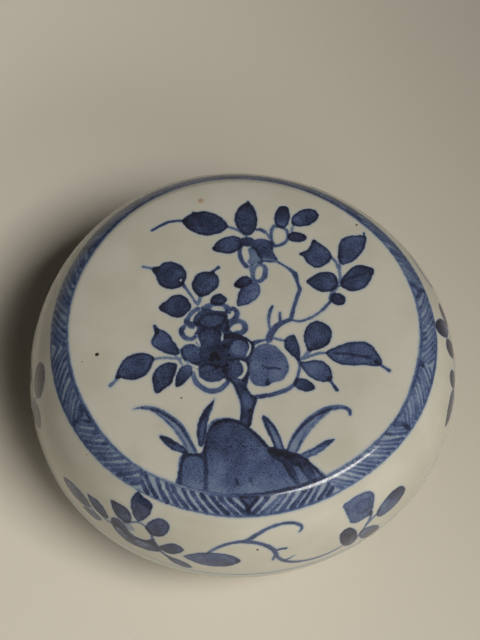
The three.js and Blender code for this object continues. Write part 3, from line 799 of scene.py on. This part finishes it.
def paint_band(s, rng):
    """A hazy band between two soft lines, hatched in stretches that lean one way and then the other."""
    for start in range(-180, 180, 60):
        u = np.arange(start, start + 61, 4.0)
        wobble = 0.06 * np.sin(np.radians(u * 7)) + 0.05 * np.cos(np.radians(u * 11))
        weight = 1 + 0.3 * np.sin(np.radians(u * 5 + 30))
        s.stroke(np.column_stack([u, band_inner(u) + wobble + 0.1]), 0.62 * weight, 0.55 * weight)
        s.stroke(np.column_stack([u, band_outer(u) + wobble - 0.1]), 0.5 * weight, 0.5 * weight)
    for start in range(-180, 180, 20):
        u = np.arange(start, start + 21, 4.0)
        haze = 0.29 - 0.04 * math.cos(math.radians(start + 10))
        s.area(np.vstack([np.column_stack([u, band_inner(u)]), np.column_stack([u, band_outer(u)])[::-1]]),
               tone=haze, pool=0.0, smooth=False)
    for k, (a, b) in enumerate(zip(BAND_TURNS, BAND_TURNS[1:] + [BAND_TURNS[0] + 360])):
        lean = -HATCH_LEAN if k % 2 else HATCH_LEAN
        manner = "bold" if -30 < a < 20 else "fine" if 20 < a < 200 else "plain"
        pitch, girth, foot_tone, top_tone = BAND_MANNERS[manner]
        u = a - 8.0
        while u < b + 8.0:
            u += pitch * rng.uniform(0.88, 1.12)
            reach = lean * rng.uniform(0.85, 1.15)
            weight = girth * rng.uniform(0.85, 1.15)
            top_blob = rng.uniform(0.0, 0.3)
            ts = np.linspace(0, 1, 7)
            us = u + reach * ts + 0.6 * np.sign(lean) * ts * (1 - ts)
            held = (us >= a) & (us <= b)
            if held.sum() < 3:
                continue
            ts, us = ts[held], us[held]
            low, high = band_outer(us) - 0.4, band_inner(us) + 0.4
            widths = weight * (1.05 - 0.3 * ts + top_blob * (ts > 0.8))
            tones = foot_tone + (top_tone - foot_tone) * ts + top_blob * (ts > 0.8)
            tones = tones * rng.uniform(0.8, 1.1)
            s.stroke(np.column_stack([us, low + (high - low) * ts]), widths, np.clip(tones, 0.3, 1.1))
        # where two stretches meet, a dark wedge or a short touch of the brush
        inner, outer = band_inner(a), band_outer(a)
        if k % 2 == 0:
            s.tint([(a - 3.0, inner + 0.3), (a + 3.0, inner + 0.3), (a + 1.4, inner + 1.8),
                    (a, outer - 0.4),
                    (a - 1.4, inner + 1.8)],
                   0.55 if manner == "bold" else 0.4)
            s.stroke([(a - 0.4, outer - 2.0), (a, outer - 0.6)], [0.8, 1.3],
                     [0.8, 1.0] if manner == "bold" else [0.6, 0.8])
        else:
            s.stroke([(a - 0.8, inner + 0.9), (a + 0.5, inner + 0.6)], 0.8, 0.75)


def paint_rim_line(s, height, width=0.5, tone=0.42, sway=0.0):
    for start in range(-180, 180, 60):
        u = np.arange(start, start + 61, 5.0)
        wobble = 0.07 * np.sin(np.radians(u * 5)) + 0.05 * np.cos(np.radians(u * 9))
        level = height + sway * np.sin(np.radians(u)) + wobble
        s.stroke(np.column_stack([u, level]), width * (1 + 0.2 * np.sin(np.radians(u * 6))),
                 tone * (1 + 0.18 * np.sin(np.radians(u * 4 + 40))))


def paint_spray(s):
    """A blossom in a ring of leaves, with one long leaf to the right. Its middle is at 24 degrees left."""
    s.area([(-26.4, 4.3), (-27.1, 6.6), (-25.8, 8.7), (-24.0, 10.2), (-22.4, 9.8), (-21.1, 8.0),
            (-20.7, 5.8), (-22.0, 4.9), (-24.0, 4.7)],
           tone=0.6, pool=0.2)
    s.area([(-32.3, 9.4), (-30.4, 11.5), (-28.3, 12.4), (-26.4, 12.4), (-25.2, 11.3), (-25.7, 9.7),
            (-27.6, 8.7), (-29.8, 8.8)],
           tone=0.64, pool=0.2)
    s.dot((-31.2, 9.3), 0.8)
    s.area([(-21.0, 11.0), (-20.3, 9.0), (-18.3, 7.5), (-16.0, 7.4), (-14.7, 8.7), (-15.5, 10.9),
            (-17.4, 12.2),
            (-19.5, 12.1)],
           tone=0.58, pool=0.18)
    s.area([(-39.2, 12.7), (-36.8, 14.6), (-34.3, 15.2), (-32.2, 15.0), (-31.6, 14.2), (-32.7, 12.9),
            (-35.3, 11.9), (-37.4, 12.1)],
           tone=0.6, pool=0.2)
    s.leaf((-37.4, 15.4), (-48.2, 16.0), 1.9, 2.0, blunt=(0.6, 0.6), tone=0.6, pool=0.16)
    s.leaf((-33.4, 16.8), (-40.0, 18.2), 1.2, 1.3, tone=0.5, pool=0.1)
    s.area([(-16.3, 15.0), (-15.1, 13.7), (-12.9, 12.6), (-11.0, 12.8), (-9.9, 13.9), (-11.4, 15.6),
            (-13.6, 16.4), (-15.2, 16.1)],
           tone=0.64, pool=0.22)
    s.area([(-14.4, 17.4), (-12.4, 17.6), (-9.6, 18.1), (-7.2, 19.8), (-8.6, 20.8), (-10.8, 20.3),
            (-12.7, 19.4)],
           tone=0.56, pool=0.2)
    s.leaf((-9.8, 15.9), (5.1, 15.2), 2.5, 2.6, blunt=(0.75, 0.6), tone=0.52, pool=0.14)
    s.stroke([(4.0, 14.9), (4.5, 15.3), (4.2, 15.8)], [0.5, 0.8, 0.5], 0.8)
    # the blossom: a dark mass below a pale middle
    s.area([(-30.6, 13.6), (-28.6, 12.7), (-26.8, 13.2), (-24.8, 14.6), (-22.4, 15.1), (-20.2, 14.6),
            (-18.2, 13.4), (-17.0, 14.4), (-15.4, 15.6), (-16.6, 17.2), (-19.2, 18.2), (-22.2, 18.7),
            (-25.2, 18.7), (-28.0, 17.6), (-30.2, 15.6)],
           tone=0.62, pool=0.05)
    s.tint([(-29.0, 15.4), (-26.8, 15.6), (-25.0, 16.8), (-26.4, 17.4), (-28.2, 16.8)], 0.48)
    s.tint([(-23.2, 16.4), (-21.0, 15.9), (-19.2, 16.2), (-20.4, 17.4), (-22.4, 17.5)], 0.46)
    s.area([(-27.0, 13.2), (-25.2, 12.2), (-23.6, 13.0), (-24.4, 14.0),
            (-25.8, 13.9)], tone=0.24, pool=0.05)
    s.stroke([(-27.0, 12.6), (-25.2, 11.6), (-23.2, 10.5), (-20.9, 10.8), (-19.2, 12.0), (-18.3, 13.5)],
             [0.6, 0.5, 0.45, 0.5, 0.55, 0.7], 0.72)
    s.stroke([(-29.2, 14.6), (-27.2, 15.0), (-25.2, 16.0), (-23.4, 16.2)], [0.8, 0.9, 0.9, 0.6], 0.66)
    s.stroke([(-22.8, 15.6), (-20.4, 15.2), (-18.2, 14.6)], [0.6, 0.8, 0.8], 0.66)
    s.stroke([(-33.4, 15.2), (-31.6, 15.6), (-29.6, 15.1)], 0.6, 0.6)
    s.stroke([(-37.4, 15.0), (-35.6, 16.2), (-33.4, 16.6)], 0.4, 0.5)
    s.stroke([(-18.0, 15.2), (-16.2, 16.4), (-14.4, 17.5)], [0.8, 0.7, 0.7], 0.7)


def paint_scroll(s):
    """The stem that leaves the long leaf, with its hooked tendril and thorny twigs."""
    s.stroke([(-3.6, 13.2), (-2.0, 11.8), (0.4, 10.4), (3.2, 9.6), (6.2, 9.3)],
             [0.6, 0.75, 0.75, 0.75, 0.9], [0.72, 0.76, 0.82, 0.84, 0.95])
    s.stroke([(6.2, 9.3), (8.2, 8.2), (10.6, 7.1), (13.4, 6.3), (16.4, 6.05), (19.2, 6.3), (21.2, 7.2),
              (21.6, 8.0), (20.8, 8.7)],
             [1.0, 0.9, 0.75, 0.7, 0.65, 0.65, 0.7, 0.65, 0.45],
             [0.95, 0.86, 0.84, 0.84, 0.86, 0.88, 0.9, 0.88, 0.7])
    s.dot((6.3, 9.3), 1.15, 0.96)
    s.stroke([(6.4, 9.4), (9.2, 9.9), (11.6, 10.8), (13.6, 12.3), (14.4, 13.8), (15.2, 15.4), (17.2, 17.2),
              (20.0, 18.5), (23.4, 19.3), (27.4, 19.6), (31.0, 19.3), (33.6, 18.6)],
             [0.95, 0.85, 0.9, 1.0, 0.85, 0.85, 0.9, 0.9, 0.85, 0.85, 0.75, 0.55],
             [0.9, 0.86, 0.88, 0.9, 0.84, 0.84, 0.84, 0.8, 0.76, 0.72, 0.66, 0.5])
    s.stroke([(14.0, 12.7), (15.8, 12.4), (17.0, 12.5)], [0.8, 0.65, 0.7], [0.9, 0.86, 0.9])
    s.stroke([(14.4, 13.6), (14.0, 14.8), (13.7, 15.9)], [0.8, 0.7, 0.5], 0.84)
    s.stroke([(16.8, 16.6), (18.2, 16.3), (19.4, 15.6)], [0.7, 0.5, 0.4], [0.84, 0.76, 0.66])


def paint_posy(s):
    """Four leaves on one stalk, one of them a square blob. They stand at 42 degrees right."""
    s.area([(34.6, 6.3), (37.0, 5.9), (40.0, 5.8), (43.2, 6.3), (44.4, 7.8), (43.8, 9.6), (43.0, 11.2),
            (42.2, 12.6), (40.0, 12.5), (37.6, 12.5), (35.8, 11.4), (35.2, 9.2), (34.6, 7.5)],
           tone=0.5, pool=0.12)
    s.tint([(38.2, 7.6), (41.0, 7.2), (43.2, 8.2), (42.6, 10.2), (40.2, 11.0), (38.2, 10.0)], 0.58)
    s.leaf((44.2, 14.4), (54.4, 12.4), 2.6, 2.7, blunt=(0.45, 0.38), tone=0.58, pool=0.2)
    s.leaf((36.5, 20.4), (34.1, 12.7), 1.7, 1.8, blunt=(0.5, 0.4), tone=0.68, pool=0.2)
    s.stroke([(34.0, 16.4), (35.4, 16.2), (36.6, 15.6)], 0.45, 1.2)
    s.stroke([(35.2, 15.0), (35.4, 16.8), (35.0, 18.4)], 0.4, 1.1)
    s.leaf((39.4, 16.4), (44.6, 22.2), 1.9, 1.9, blunt=(0.5, 0.42), tone=0.58, pool=0.22)
    s.stroke([(42.4, 12.0), (42.0, 13.4), (40.8, 15.0), (39.2, 16.8), (37.4, 18.6)], 0.75, 0.72)
    s.stroke([(45.2, 13.2), (43.2, 14.0), (41.2, 15.0)], 0.6, 0.66)


def paint_side_leaves(s):
    """The group on the right: five leaves along a stalk, rising to the back."""
    s.leaf((87.2, 12.4), (76.2, 12.8), 2.1, 2.0, blunt=(0.5, 0.7), tone=0.66, pool=0.24)
    s.leaf((89.0, 12.6), (88.8, 8.4), 1.6, 1.7, blunt=(0.5, 0.45), tone=0.74)
    s.leaf((97.0, 11.0), (96.8, 6.4), 1.8, 1.8, blunt=(0.5, 0.45), tone=0.7)
    s.leaf((103.4, 8.4), (99.8, 3.4), 2.0, 1.9, blunt=(0.5, 0.5), tone=0.64, pool=0.3)
    s.leaf((103.8, 9.0), (110.6, 7.6), 1.4, 1.5, blunt=(0.5, 0.5), tone=0.72)
    s.stroke([(87.0, 12.6), (91.0, 11.6), (95.0, 10.6), (99.0, 9.6), (103.0, 8.8)], 0.45, 0.45)


def paint_far_leaves(s):
    """The group on the left: two round leaves and a long one below them."""
    s.leaf((-69.4, 11.2), (-77.8, 8.0), 2.6, 2.6, blunt=(0.4, 0.45), tone=0.74, pool=0.2)
    s.leaf((-71.4, 15.6), (-63.2, 13.8), 2.3, 2.3, blunt=(0.5, 0.45), tone=0.68)
    s.leaf((-77.0, 13.0), (-86.0, 21.0), 2.3, 2.4, blunt=(0.6, 0.6), tone=0.68)
    s.leaf((-69.6, 17.0), (-68.4, 21.4), 1.2, 1.3, tone=0.62)
    s.stroke([(-69.6, 11.4), (-71.0, 13.6), (-71.8, 15.4), (-70.4, 17.2)], 0.45, 0.5)
    s.stroke([(-71.8, 15.0), (-74.4, 13.6), (-77.0, 13.0)], 0.45, 0.5)


class Moved:
    """A sheet whose motifs are drawn turned to another side of the box, or mirrored."""

    def __init__(self, sheet, turn, mirror=False, down=0.0, size=1.0):
        self.sheet, self.turn, self.mirror, self.down, self.size = sheet, turn, mirror, down, size

    def moved(self, points):
        p = np.array(points, float)
        p[:, 0] = self.turn + self.size * (-p[:, 0] if self.mirror else p[:, 0])
        p[:, 1] = self.down + self.size * p[:, 1]
        return p

    def __getattr__(self, name):
        call = getattr(self.sheet, name)

        def wrapped(first, *rest, **settings):
            if name == "leaf":
                first, tip = self.moved([first, rest[0]])
                rest = [tip, *(half_width * self.size for half_width in rest[1:])]
            elif name == "dot":
                (first,) = self.moved([first])
            else:
                first = self.moved(first)
            call(first, *rest, **settings)

        return wrapped


def paint_lid_side(s):
    paint_spray(s)
    paint_scroll(s)
    paint_posy(s)
    paint_side_leaves(s)
    paint_far_leaves(s)
    # the side that is turned away carries the same kinds of motif
    paint_spray(Moved(s, 138.0, mirror=True, down=0.2))
    paint_scroll(Moved(s, 138.0, mirror=True))
    paint_scroll(Moved(s, 246.0, mirror=True))
    paint_posy(Moved(s, 246.0, mirror=True, down=0.2))
    paint_rim_line(s, 21.6, tone=0.34, sway=0.6)


def paint_base_side(s):
    """The base is painted to match: a line under the rim, scrolls and sprays, and lines at the foot."""
    paint_rim_line(s, 1.5, width=0.55, tone=0.5)
    for turn in (20.0, 188.0):
        paint_scroll(Moved(s, turn, down=-2.5, size=0.95))
        paint_posy(Moved(s, turn, down=-0.5, size=0.9))
    for turn in (152.0, 318.0):
        paint_scroll(Moved(s, turn, mirror=True, down=-2.0, size=0.95))
    paint_side_leaves(Moved(s, 0.0, down=1.0))
    paint_side_leaves(Moved(s, 352.0, mirror=True, down=1.0))
    paint_posy(Moved(s, 130.0, down=-0.5, size=0.9))
    paint_posy(Moved(s, 372.0, mirror=True, down=-0.5, size=0.9))
    paint_rim_line(s, 18.9, width=0.6, tone=0.6)
    paint_rim_line(s, 21.2, width=0.5, tone=0.5)


# ---------------------------------------------------------------- paint on the pieces
# Iron spots and a rust stain, as (x, y, size) on the top, and around and down from the front on the side
SPOTS = [(-26.2, -8.0, 0.7), (-28.7, -9.6, 0.3), (18.4, 25.1, 0.3), (-10.2, -14.9, 0.25)]
RUST = [(-11.2, 26.3, 1.0)]
SIDE_SPOTS = [(6.5, 11.8, 0.5), (44.3, 17.0, 0.25)]


def write(piece, name, values):
    """Keeps one number for each surface point, for the porcelain material to read."""
    piece.data.attributes.new(name, "FLOAT", "POINT").data.foreach_set("value", values.astype(np.float32))


def put_paint(piece, sheets):
    """Stores the cobalt of one or more sheets, each with the points it covers, on a piece."""
    count = len(piece.data.vertices)
    kept = {"wash_mm": np.full(count, FAR), "line_mm": np.full(count, FAR)}
    kept |= {name: np.zeros(count) for name in ("wash_tone", "pool_tone", "line_tone")}
    for at, sheet in sheets:
        washes = {"wash_mm": sheet.wash, "wash_tone": sheet.wash_tone, "pool_tone": sheet.pool}
        for marks in (washes, {"line_mm": sheet.line, "line_tone": sheet.line_tone}):
            gap = next(iter(marks))
            nearer = marks[gap] < kept[gap][at]
            for name, values in marks.items():
                kept[name][at[nearer]] = values[nearer]
    for name, values in kept.items():
        write(piece, name, values)


def spot_gaps(x, y, where, spots):
    """Distances to the edges of round spots, where they are allowed."""
    gaps = np.full(len(x), FAR)
    for sx, sy, size in spots:
        gaps = np.where(where, np.minimum(gaps, np.hypot(x - sx, y - sy) - size / 2), gaps)
    return gaps


def make_lid():
    piece, points = turned("painted_lid", lid_section())
    flat = np.array([v.co[:2] for v in piece.data.vertices]) / MM
    front = np.arctan2(flat[:, 0], -flat[:, 1])
    on_top, on_side = points["part"] == "top", points["part"] == "side"
    top_at = np.nonzero(on_top)[0]
    top = Sheet(flat[top_at, 0], flat[top_at, 1])
    paint_top(top)
    wall_at = np.nonzero(on_side | (on_top & (points["r"] > BAND_REACH)))[0]
    down = np.where(on_side, points["run"], points["r"] - PANEL_RADIUS)
    wall = Sheet(
        front[wall_at] * RADIUS,
        down[wall_at],
        wrap=2 * math.pi * RADIUS,
        place=lambda p: np.array(p, float) * (math.radians(1) * RADIUS, 1),
    )
    paint_band(wall, np.random.default_rng(7))
    paint_lid_side(wall)
    put_paint(piece, [(top_at, top), (wall_at, wall)])
    write(piece, "bare", (points["part"] == "bare") * 1.0)
    above = spot_gaps(flat[:, 0], flat[:, 1], on_top, SPOTS)
    around = spot_gaps(front * RADIUS, points["run"], on_side, SIDE_SPOTS)
    write(piece, "spot_mm", np.minimum(above, around))
    write(piece, "rust_mm", spot_gaps(flat[:, 0], flat[:, 1], on_top, RUST))
    pool_gap = points["z"] - SEAM - LID_POOL
    write(piece, "deep", np.exp(-((pool_gap / LID_POOL_SPREAD) ** 2)) * on_side)
    piece.data.materials.append(porcelain("blue_and_white_lid"))
    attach(piece, "lid")
    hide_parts("lid")


def make_base():
    piece, points = turned("painted_base", base_section())
    flat = np.array([v.co[:2] for v in piece.data.vertices]) / MM
    side_at = np.nonzero(points["part"] == "side")[0]
    side = Sheet(
        np.arctan2(flat[side_at, 0], -flat[side_at, 1]) * BASE_MIDDLE,
        points["run"][side_at],
        wrap=2 * math.pi * BASE_MIDDLE,
        place=lambda p: np.array(p, float) * (math.radians(1) * BASE_MIDDLE, 1),
    )
    paint_base_side(side)
    put_paint(piece, [(side_at, side)])
    write(piece, "bare", (points["part"] == "bare") * 1.0)
    write(piece, "spot_mm", np.full(len(flat), FAR))
    write(piece, "rust_mm", np.full(len(flat), FAR))
    foot_gap = np.hypot(points["r"] - FOOT_RADIUS - FOOT_TAPER, points["z"] - FOOT_HEIGHT)
    write(piece, "deep", np.exp(-((foot_gap / FOOT_POOL_SPREAD) ** 2)))
    piece.data.materials.append(porcelain("blue_and_white_base"))
    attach(piece, "base")
    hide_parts("base")


# ---------------------------------------------------------------- materials
class Tree:
    """Short ways to add shader nodes. Feature sizes are in millimetres."""

    def __init__(self, name):
        self.material = bpy.data.materials.new(name)
        self.material.use_nodes = True
        self.tree = self.material.node_tree
        self.shader = self.tree.nodes["Principled BSDF"]
        self.place = self.add("ShaderNodeTexCoord").outputs["Object"]

    def add(self, kind, inputs=None, **settings):
        node = self.tree.nodes.new(kind)
        for name, value in settings.items():
            setattr(node, name, value)
        for name, value in (inputs or {}).items():
            self.set(node.inputs[name], value)
        return node

    def set(self, socket, value):
        if isinstance(value, bpy.types.NodeSocket):
            self.tree.links.new(value, socket)
        else:
            socket.default_value = value

    def math(self, operation, a, b=0.0, clamp=False):
        return self.add("ShaderNodeMath", {0: a, 1: b}, operation=operation, use_clamp=clamp).outputs[0]

    def plus(self, first, *rest, clamp=False):
        for value in rest:
            first = self.math("ADD", first, value, clamp=clamp and value is rest[-1])
        return first

    def times(self, first, *rest):
        for value in rest:
            first = self.math("MULTIPLY", first, value)
        return first

    def attribute(self, name):
        return self.add("ShaderNodeAttribute", attribute_name=name).outputs["Fac"]

    def noise(self, feature, detail=2.0, roughness=0.5):
        settings = {"Scale": 1 / (feature * MM), "Detail": detail, "Roughness": roughness}
        return self.add("ShaderNodeTexNoise", {"Vector": self.place} | settings).outputs["Fac"]

    def spread(self, value, low, high):
        """value from about 0..1 to low..high."""
        return self.plus(self.times(value, high - low), low)

    def step(self, value, start, end):
        """0 at start, 1 at end, smooth between."""
        inputs = {"Value": value, "From Min": start, "From Max": end}
        return self.add("ShaderNodeMapRange", inputs, interpolation_type="SMOOTHSTEP").outputs["Result"]

    def mix(self, share, a, b):
        node = self.add("ShaderNodeMix", {0: share, 6: a, 7: b}, data_type="RGBA")
        return node.outputs[2]

    def ramp(self, value, stops):
        node = self.add("ShaderNodeValToRGB", {"Fac": value})
        elements = node.color_ramp.elements
        while len(elements) < len(stops):
            elements.new(0.5)
        for element, (at, colour) in zip(elements, stops):
            element.position = at
            element.color = colour
        return node.outputs["Color"]


def colour(code):
    """A linear colour from a web colour code."""
    parts = [int(code[i:i + 2], 16) / 255 for i in (0, 2, 4)]
    return tuple(p / 12.92 if p <= 0.04045 else ((p + 0.055) / 1.055) ** 2.4 for p in parts) + (1.0,)


GLAZE, GLAZE_SHADE, GLAZE_DEEP = colour("C9C7BB"), colour("C1BFB1"), colour("B4C0BA")
BISCUIT, BISCUIT_SHADE = colour("CCC1AB"), colour("B3A58B")
SPECK, SPOT, RUST_STAIN, FLUSH = colour("4A3D30"), colour("3A2E28"), colour("A9713C"), colour("A8794D")
# Cobalt under the glaze, from the thinnest wash to the thickest: (tone, web colour code)
COBALT = (
    (0.02, "C3C3BC"), (0.1, "B5B9B7"), (0.22, "94A0AE"), (0.36, "71819C"), (0.5, "516085"),
    (0.63, "39425E"), (0.72, "30354B"), (0.85, "2A2A38"), (1.0, "24222B"),
)
POOL_WIDTH = 0.38  # how wide a wash's dark dried edge is, in millimetres
CELL = 4.2  # about one speck of iron could stand in each cell of this size, and few do
GLAZE_IOR = 1.5


def cobalt_tone(t, wander):
    """How much cobalt lies at each point, from 0 to 1. wander makes the brush marks' edges uneven."""
    cloud, grain = t.noise(3.4), t.noise(0.24, 1.0)
    wash_gap = t.plus(t.attribute("wash_mm"), wander)
    rim = t.math("POWER", t.times(wash_gap, 1 / POOL_WIDTH), 2.0)
    pooled = t.times(t.math("EXPONENT", t.times(rim, -1.0)), 0.75, t.attribute("pool_tone"))
    washed = t.times(t.attribute("wash_tone"), t.spread(cloud, 0.62, 1.38))
    wash = t.times(t.step(wash_gap, 0.22, -0.2), t.plus(washed, pooled))
    line_gap = t.plus(t.attribute("line_mm"), t.times(wander, 0.7))
    drawn = t.times(t.attribute("line_tone"), t.spread(cloud, 0.45, 0.85))
    line = t.times(t.step(line_gap, 0.22, -0.18), drawn)
    halo = t.times(t.step(t.math("MINIMUM", wash_gap, line_gap), 0.8, 0.0), 0.09)
    clear = t.times(t.math("SUBTRACT", 1.0, wash), t.math("SUBTRACT", 1.0, line))
    tone = t.math("MAXIMUM", t.math("SUBTRACT", 1.0, clear, clamp=True), halo)
    heaped = t.times(t.step(grain, 0.58, 0.75), t.times(tone, 0.3))
    return t.plus(t.times(tone, t.spread(grain, 0.7, 1.24)), heaped, clamp=True)


def porcelain(name):
    t = Tree(name)
    wander = t.plus(t.spread(t.noise(1.1), -0.22, 0.22), t.spread(t.noise(0.35), -0.07, 0.07))
    tone = cobalt_tone(t, wander)
    body = t.mix(t.step(t.noise(9.0, 3.0), 0.35, 0.7), GLAZE, GLAZE_SHADE)
    body = t.mix(t.times(t.attribute("deep"), 0.6), body, GLAZE_DEEP)
    cobalt = t.ramp(tone, [(at, colour(code)) for at, code in COBALT])
    painted = t.mix(t.step(tone, 0.0, 0.08), body, cobalt)
    # iron in the glaze: small specks scattered by cells, a few placed spots, and a rust stain
    cells = t.add("ShaderNodeTexVoronoi", {"Vector": t.place, "Scale": 1 / (CELL * MM)}, feature="F1")
    chance = t.add("ShaderNodeSeparateColor", {"Color": cells.outputs["Color"]}).outputs["Red"]
    speck = t.times(t.step(cells.outputs["Distance"], 0.035, 0.02), t.math("GREATER_THAN", chance, 0.8))
    painted = t.mix(t.times(speck, 0.75), painted, SPECK)
    painted = t.mix(t.step(t.plus(t.attribute("spot_mm"), wander), 0.05, -0.08), painted, SPOT)
    rust = t.step(t.plus(t.attribute("rust_mm"), wander), 0.3, -0.2)
    painted = t.mix(t.times(rust, 0.55), painted, RUST_STAIN)
    # bare biscuit at the rims and the foot, with a flushed line where the glaze stops
    edge = t.plus(t.attribute("bare"), t.spread(t.noise(1.6), -0.3, 0.3))
    bare = t.step(edge, 0.46, 0.54)
    flush = t.times(t.step(edge, 0.2, 0.5), t.step(edge, 0.95, 0.6))
    grit = t.noise(0.5, 4.0, 0.7)
    shown = t.mix(bare, painted, t.mix(t.step(grit, 0.35, 0.7), BISCUIT, BISCUIT_SHADE))
    t.set(t.shader.inputs["Base Color"], t.mix(t.times(flush, 0.55), shown, FLUSH))
    glossy = t.plus(t.spread(t.noise(5.0, 3.0), 0.1, 0.17), t.times(tone, 0.04))
    rough = t.plus(t.times(glossy, t.math("SUBTRACT", 1.0, bare)), t.times(bare, 0.75))
    t.set(t.shader.inputs["Roughness"], rough)
    # the glaze lies a little uneven, in millimetres of height
    peel, slow = t.spread(t.noise(2.2), -0.006, 0.006), t.spread(t.noise(11.0, 1.0), -0.05, 0.05)
    pits, sandy = t.times(speck, -0.02), t.times(grit, bare, 0.12)
    height = t.plus(t.plus(peel, slow), t.plus(pits, sandy))
    bump = t.add("ShaderNodeBump", {"Strength": 1.0, "Distance": MM, "Height": height})
    t.set(t.shader.inputs["Normal"], bump.outputs["Normal"])
    t.shader.inputs["IOR"].default_value = GLAZE_IOR
    return t.material


# The table's colour runs between these two, from painted shade to painted light.
TABLE_PAINTED_SHADE, TABLE_PAINTED_LIGHT = colour("8E897E"), colour("F2ECDF")
TABLE_SHADE_REACH = 1 / 7  # the shading levels off about this far out, in metres
# Painted shade on the table: how fast its colour darkens to the right, to the back and across the two
# together, and its lightness at the middle.
TABLE_SHADE_EAST, TABLE_SHADE_NORTH, TABLE_SHADE_CORNER, TABLE_LIGHT_LEVEL = -4.0, -0.8, -28.0, 0.72


def painted_shade_table_material():
    """A pale table with painted shade: its colour is a little darker to the right, most of all towards the
    back, where the light falls off.
    """
    t = Tree("table_with_painted_shade")
    sides = t.add("ShaderNodeSeparateXYZ", {"Vector": t.place}).outputs
    east, north = (
        t.times(t.math("TANH", t.times(side, 1 / TABLE_SHADE_REACH)), TABLE_SHADE_REACH) for side in sides[:2]
    )
    shade_slope = t.plus(t.times(east, TABLE_SHADE_EAST), t.times(north, TABLE_SHADE_NORTH))
    shade_slope = t.plus(shade_slope, t.times(t.times(east, north), TABLE_SHADE_CORNER))
    mottle = t.spread(t.noise(300.0), -0.04, 0.04)
    # painted light: how much of the pale colour each point of the table shows
    pale = t.plus(shade_slope, TABLE_LIGHT_LEVEL, mottle, clamp=True)
    t.set(t.shader.inputs["Base Color"], t.mix(pale, TABLE_PAINTED_SHADE, TABLE_PAINTED_LIGHT))
    t.set(t.shader.inputs["Roughness"], t.spread(t.noise(40.0), 0.6, 0.75))
    return t.material


# ---------------------------------------------------------------- floor, camera and lights
AIM = Vector((0, 0, BELLY * MM))
CAMERA_LIFT, CAMERA_ROLL = 1.1002, 0.1119  # radians
CAMERA_DISTANCE, CAMERA_ACROSS, CAMERA_UP = 0.3522, -0.00023, 0.01032
CAMERA_LENS, CAMERA_SENSOR = 104.06, 36.0
WARM_LIGHT, WARM_ROOM = (1.0, 0.955, 0.88), (1.0, 0.95, 0.88, 1.0)
ROOM_STRENGTH = 0.027


def make_floor():
    bpy.ops.mesh.primitive_plane_add(size=6)
    floor = bpy.context.object
    floor.name = "table"
    floor.data.materials.append(painted_shade_table_material())


def make_camera():
    back = Vector((0, -math.cos(CAMERA_LIFT), math.sin(CAMERA_LIFT)))
    level, steep = Vector((1, 0, 0)), Vector((0, math.sin(CAMERA_LIFT), math.cos(CAMERA_LIFT)))
    right = math.cos(CAMERA_ROLL) * level + math.sin(CAMERA_ROLL) * steep
    over = math.cos(CAMERA_ROLL) * steep - math.sin(CAMERA_ROLL) * level
    data = bpy.data.cameras.new("camera")
    data.lens, data.sensor_width = CAMERA_LENS, CAMERA_SENSOR
    data.clip_start, data.clip_end = 0.01, 20
    camera = bpy.data.objects.new("camera", data)
    place = AIM + back * CAMERA_DISTANCE + right * CAMERA_ACROSS + over * CAMERA_UP
    turn = Matrix((right, over, back)).transposed()
    camera.matrix_world = Matrix.Translation(place) @ turn.to_4x4()
    bpy.context.scene.collection.objects.link(camera)
    bpy.context.scene.camera = camera


def area_light(name, place, size, power, lights=True, mirrored=True):
    """A warm panel of light aimed at the box. It can light things, be seen mirrored in them, or both."""
    data = bpy.data.lights.new(name, "AREA")
    data.shape, data.size, data.size_y = "RECTANGLE", *size
    data.energy, data.color = power, WARM_LIGHT
    light = bpy.data.objects.new(name, data)
    light.rotation_euler = (AIM - Vector(place)).to_track_quat("-Z", "Y").to_euler()
    light.location = place
    light.visible_diffuse, light.visible_glossy = lights, mirrored
    bpy.context.scene.collection.objects.link(light)


def make_lights():
    area_light("key", (0.35, -0.285, 0.8), (0.4, 0.26), 5.0, mirrored=False)
    area_light("key_sheen", (0.4, -0.205, 0.79), (0.38, 0.27), 4.9, lights=False)
    area_light("front_fill", (0.27, -0.35, 0.3), (0.26, 0.16), 0.68, mirrored=False)
    world = bpy.data.worlds.new("studio")
    world.use_nodes = True
    back = world.node_tree.nodes["Background"]
    back.inputs["Color"].default_value = WARM_ROOM
    back.inputs["Strength"].default_value = ROOM_STRENGTH
    bpy.context.scene.world = world
    bpy.context.scene.view_settings.view_transform = "Standard"


make_camera()
make_floor()
make_lights()
make_lid()
make_base()
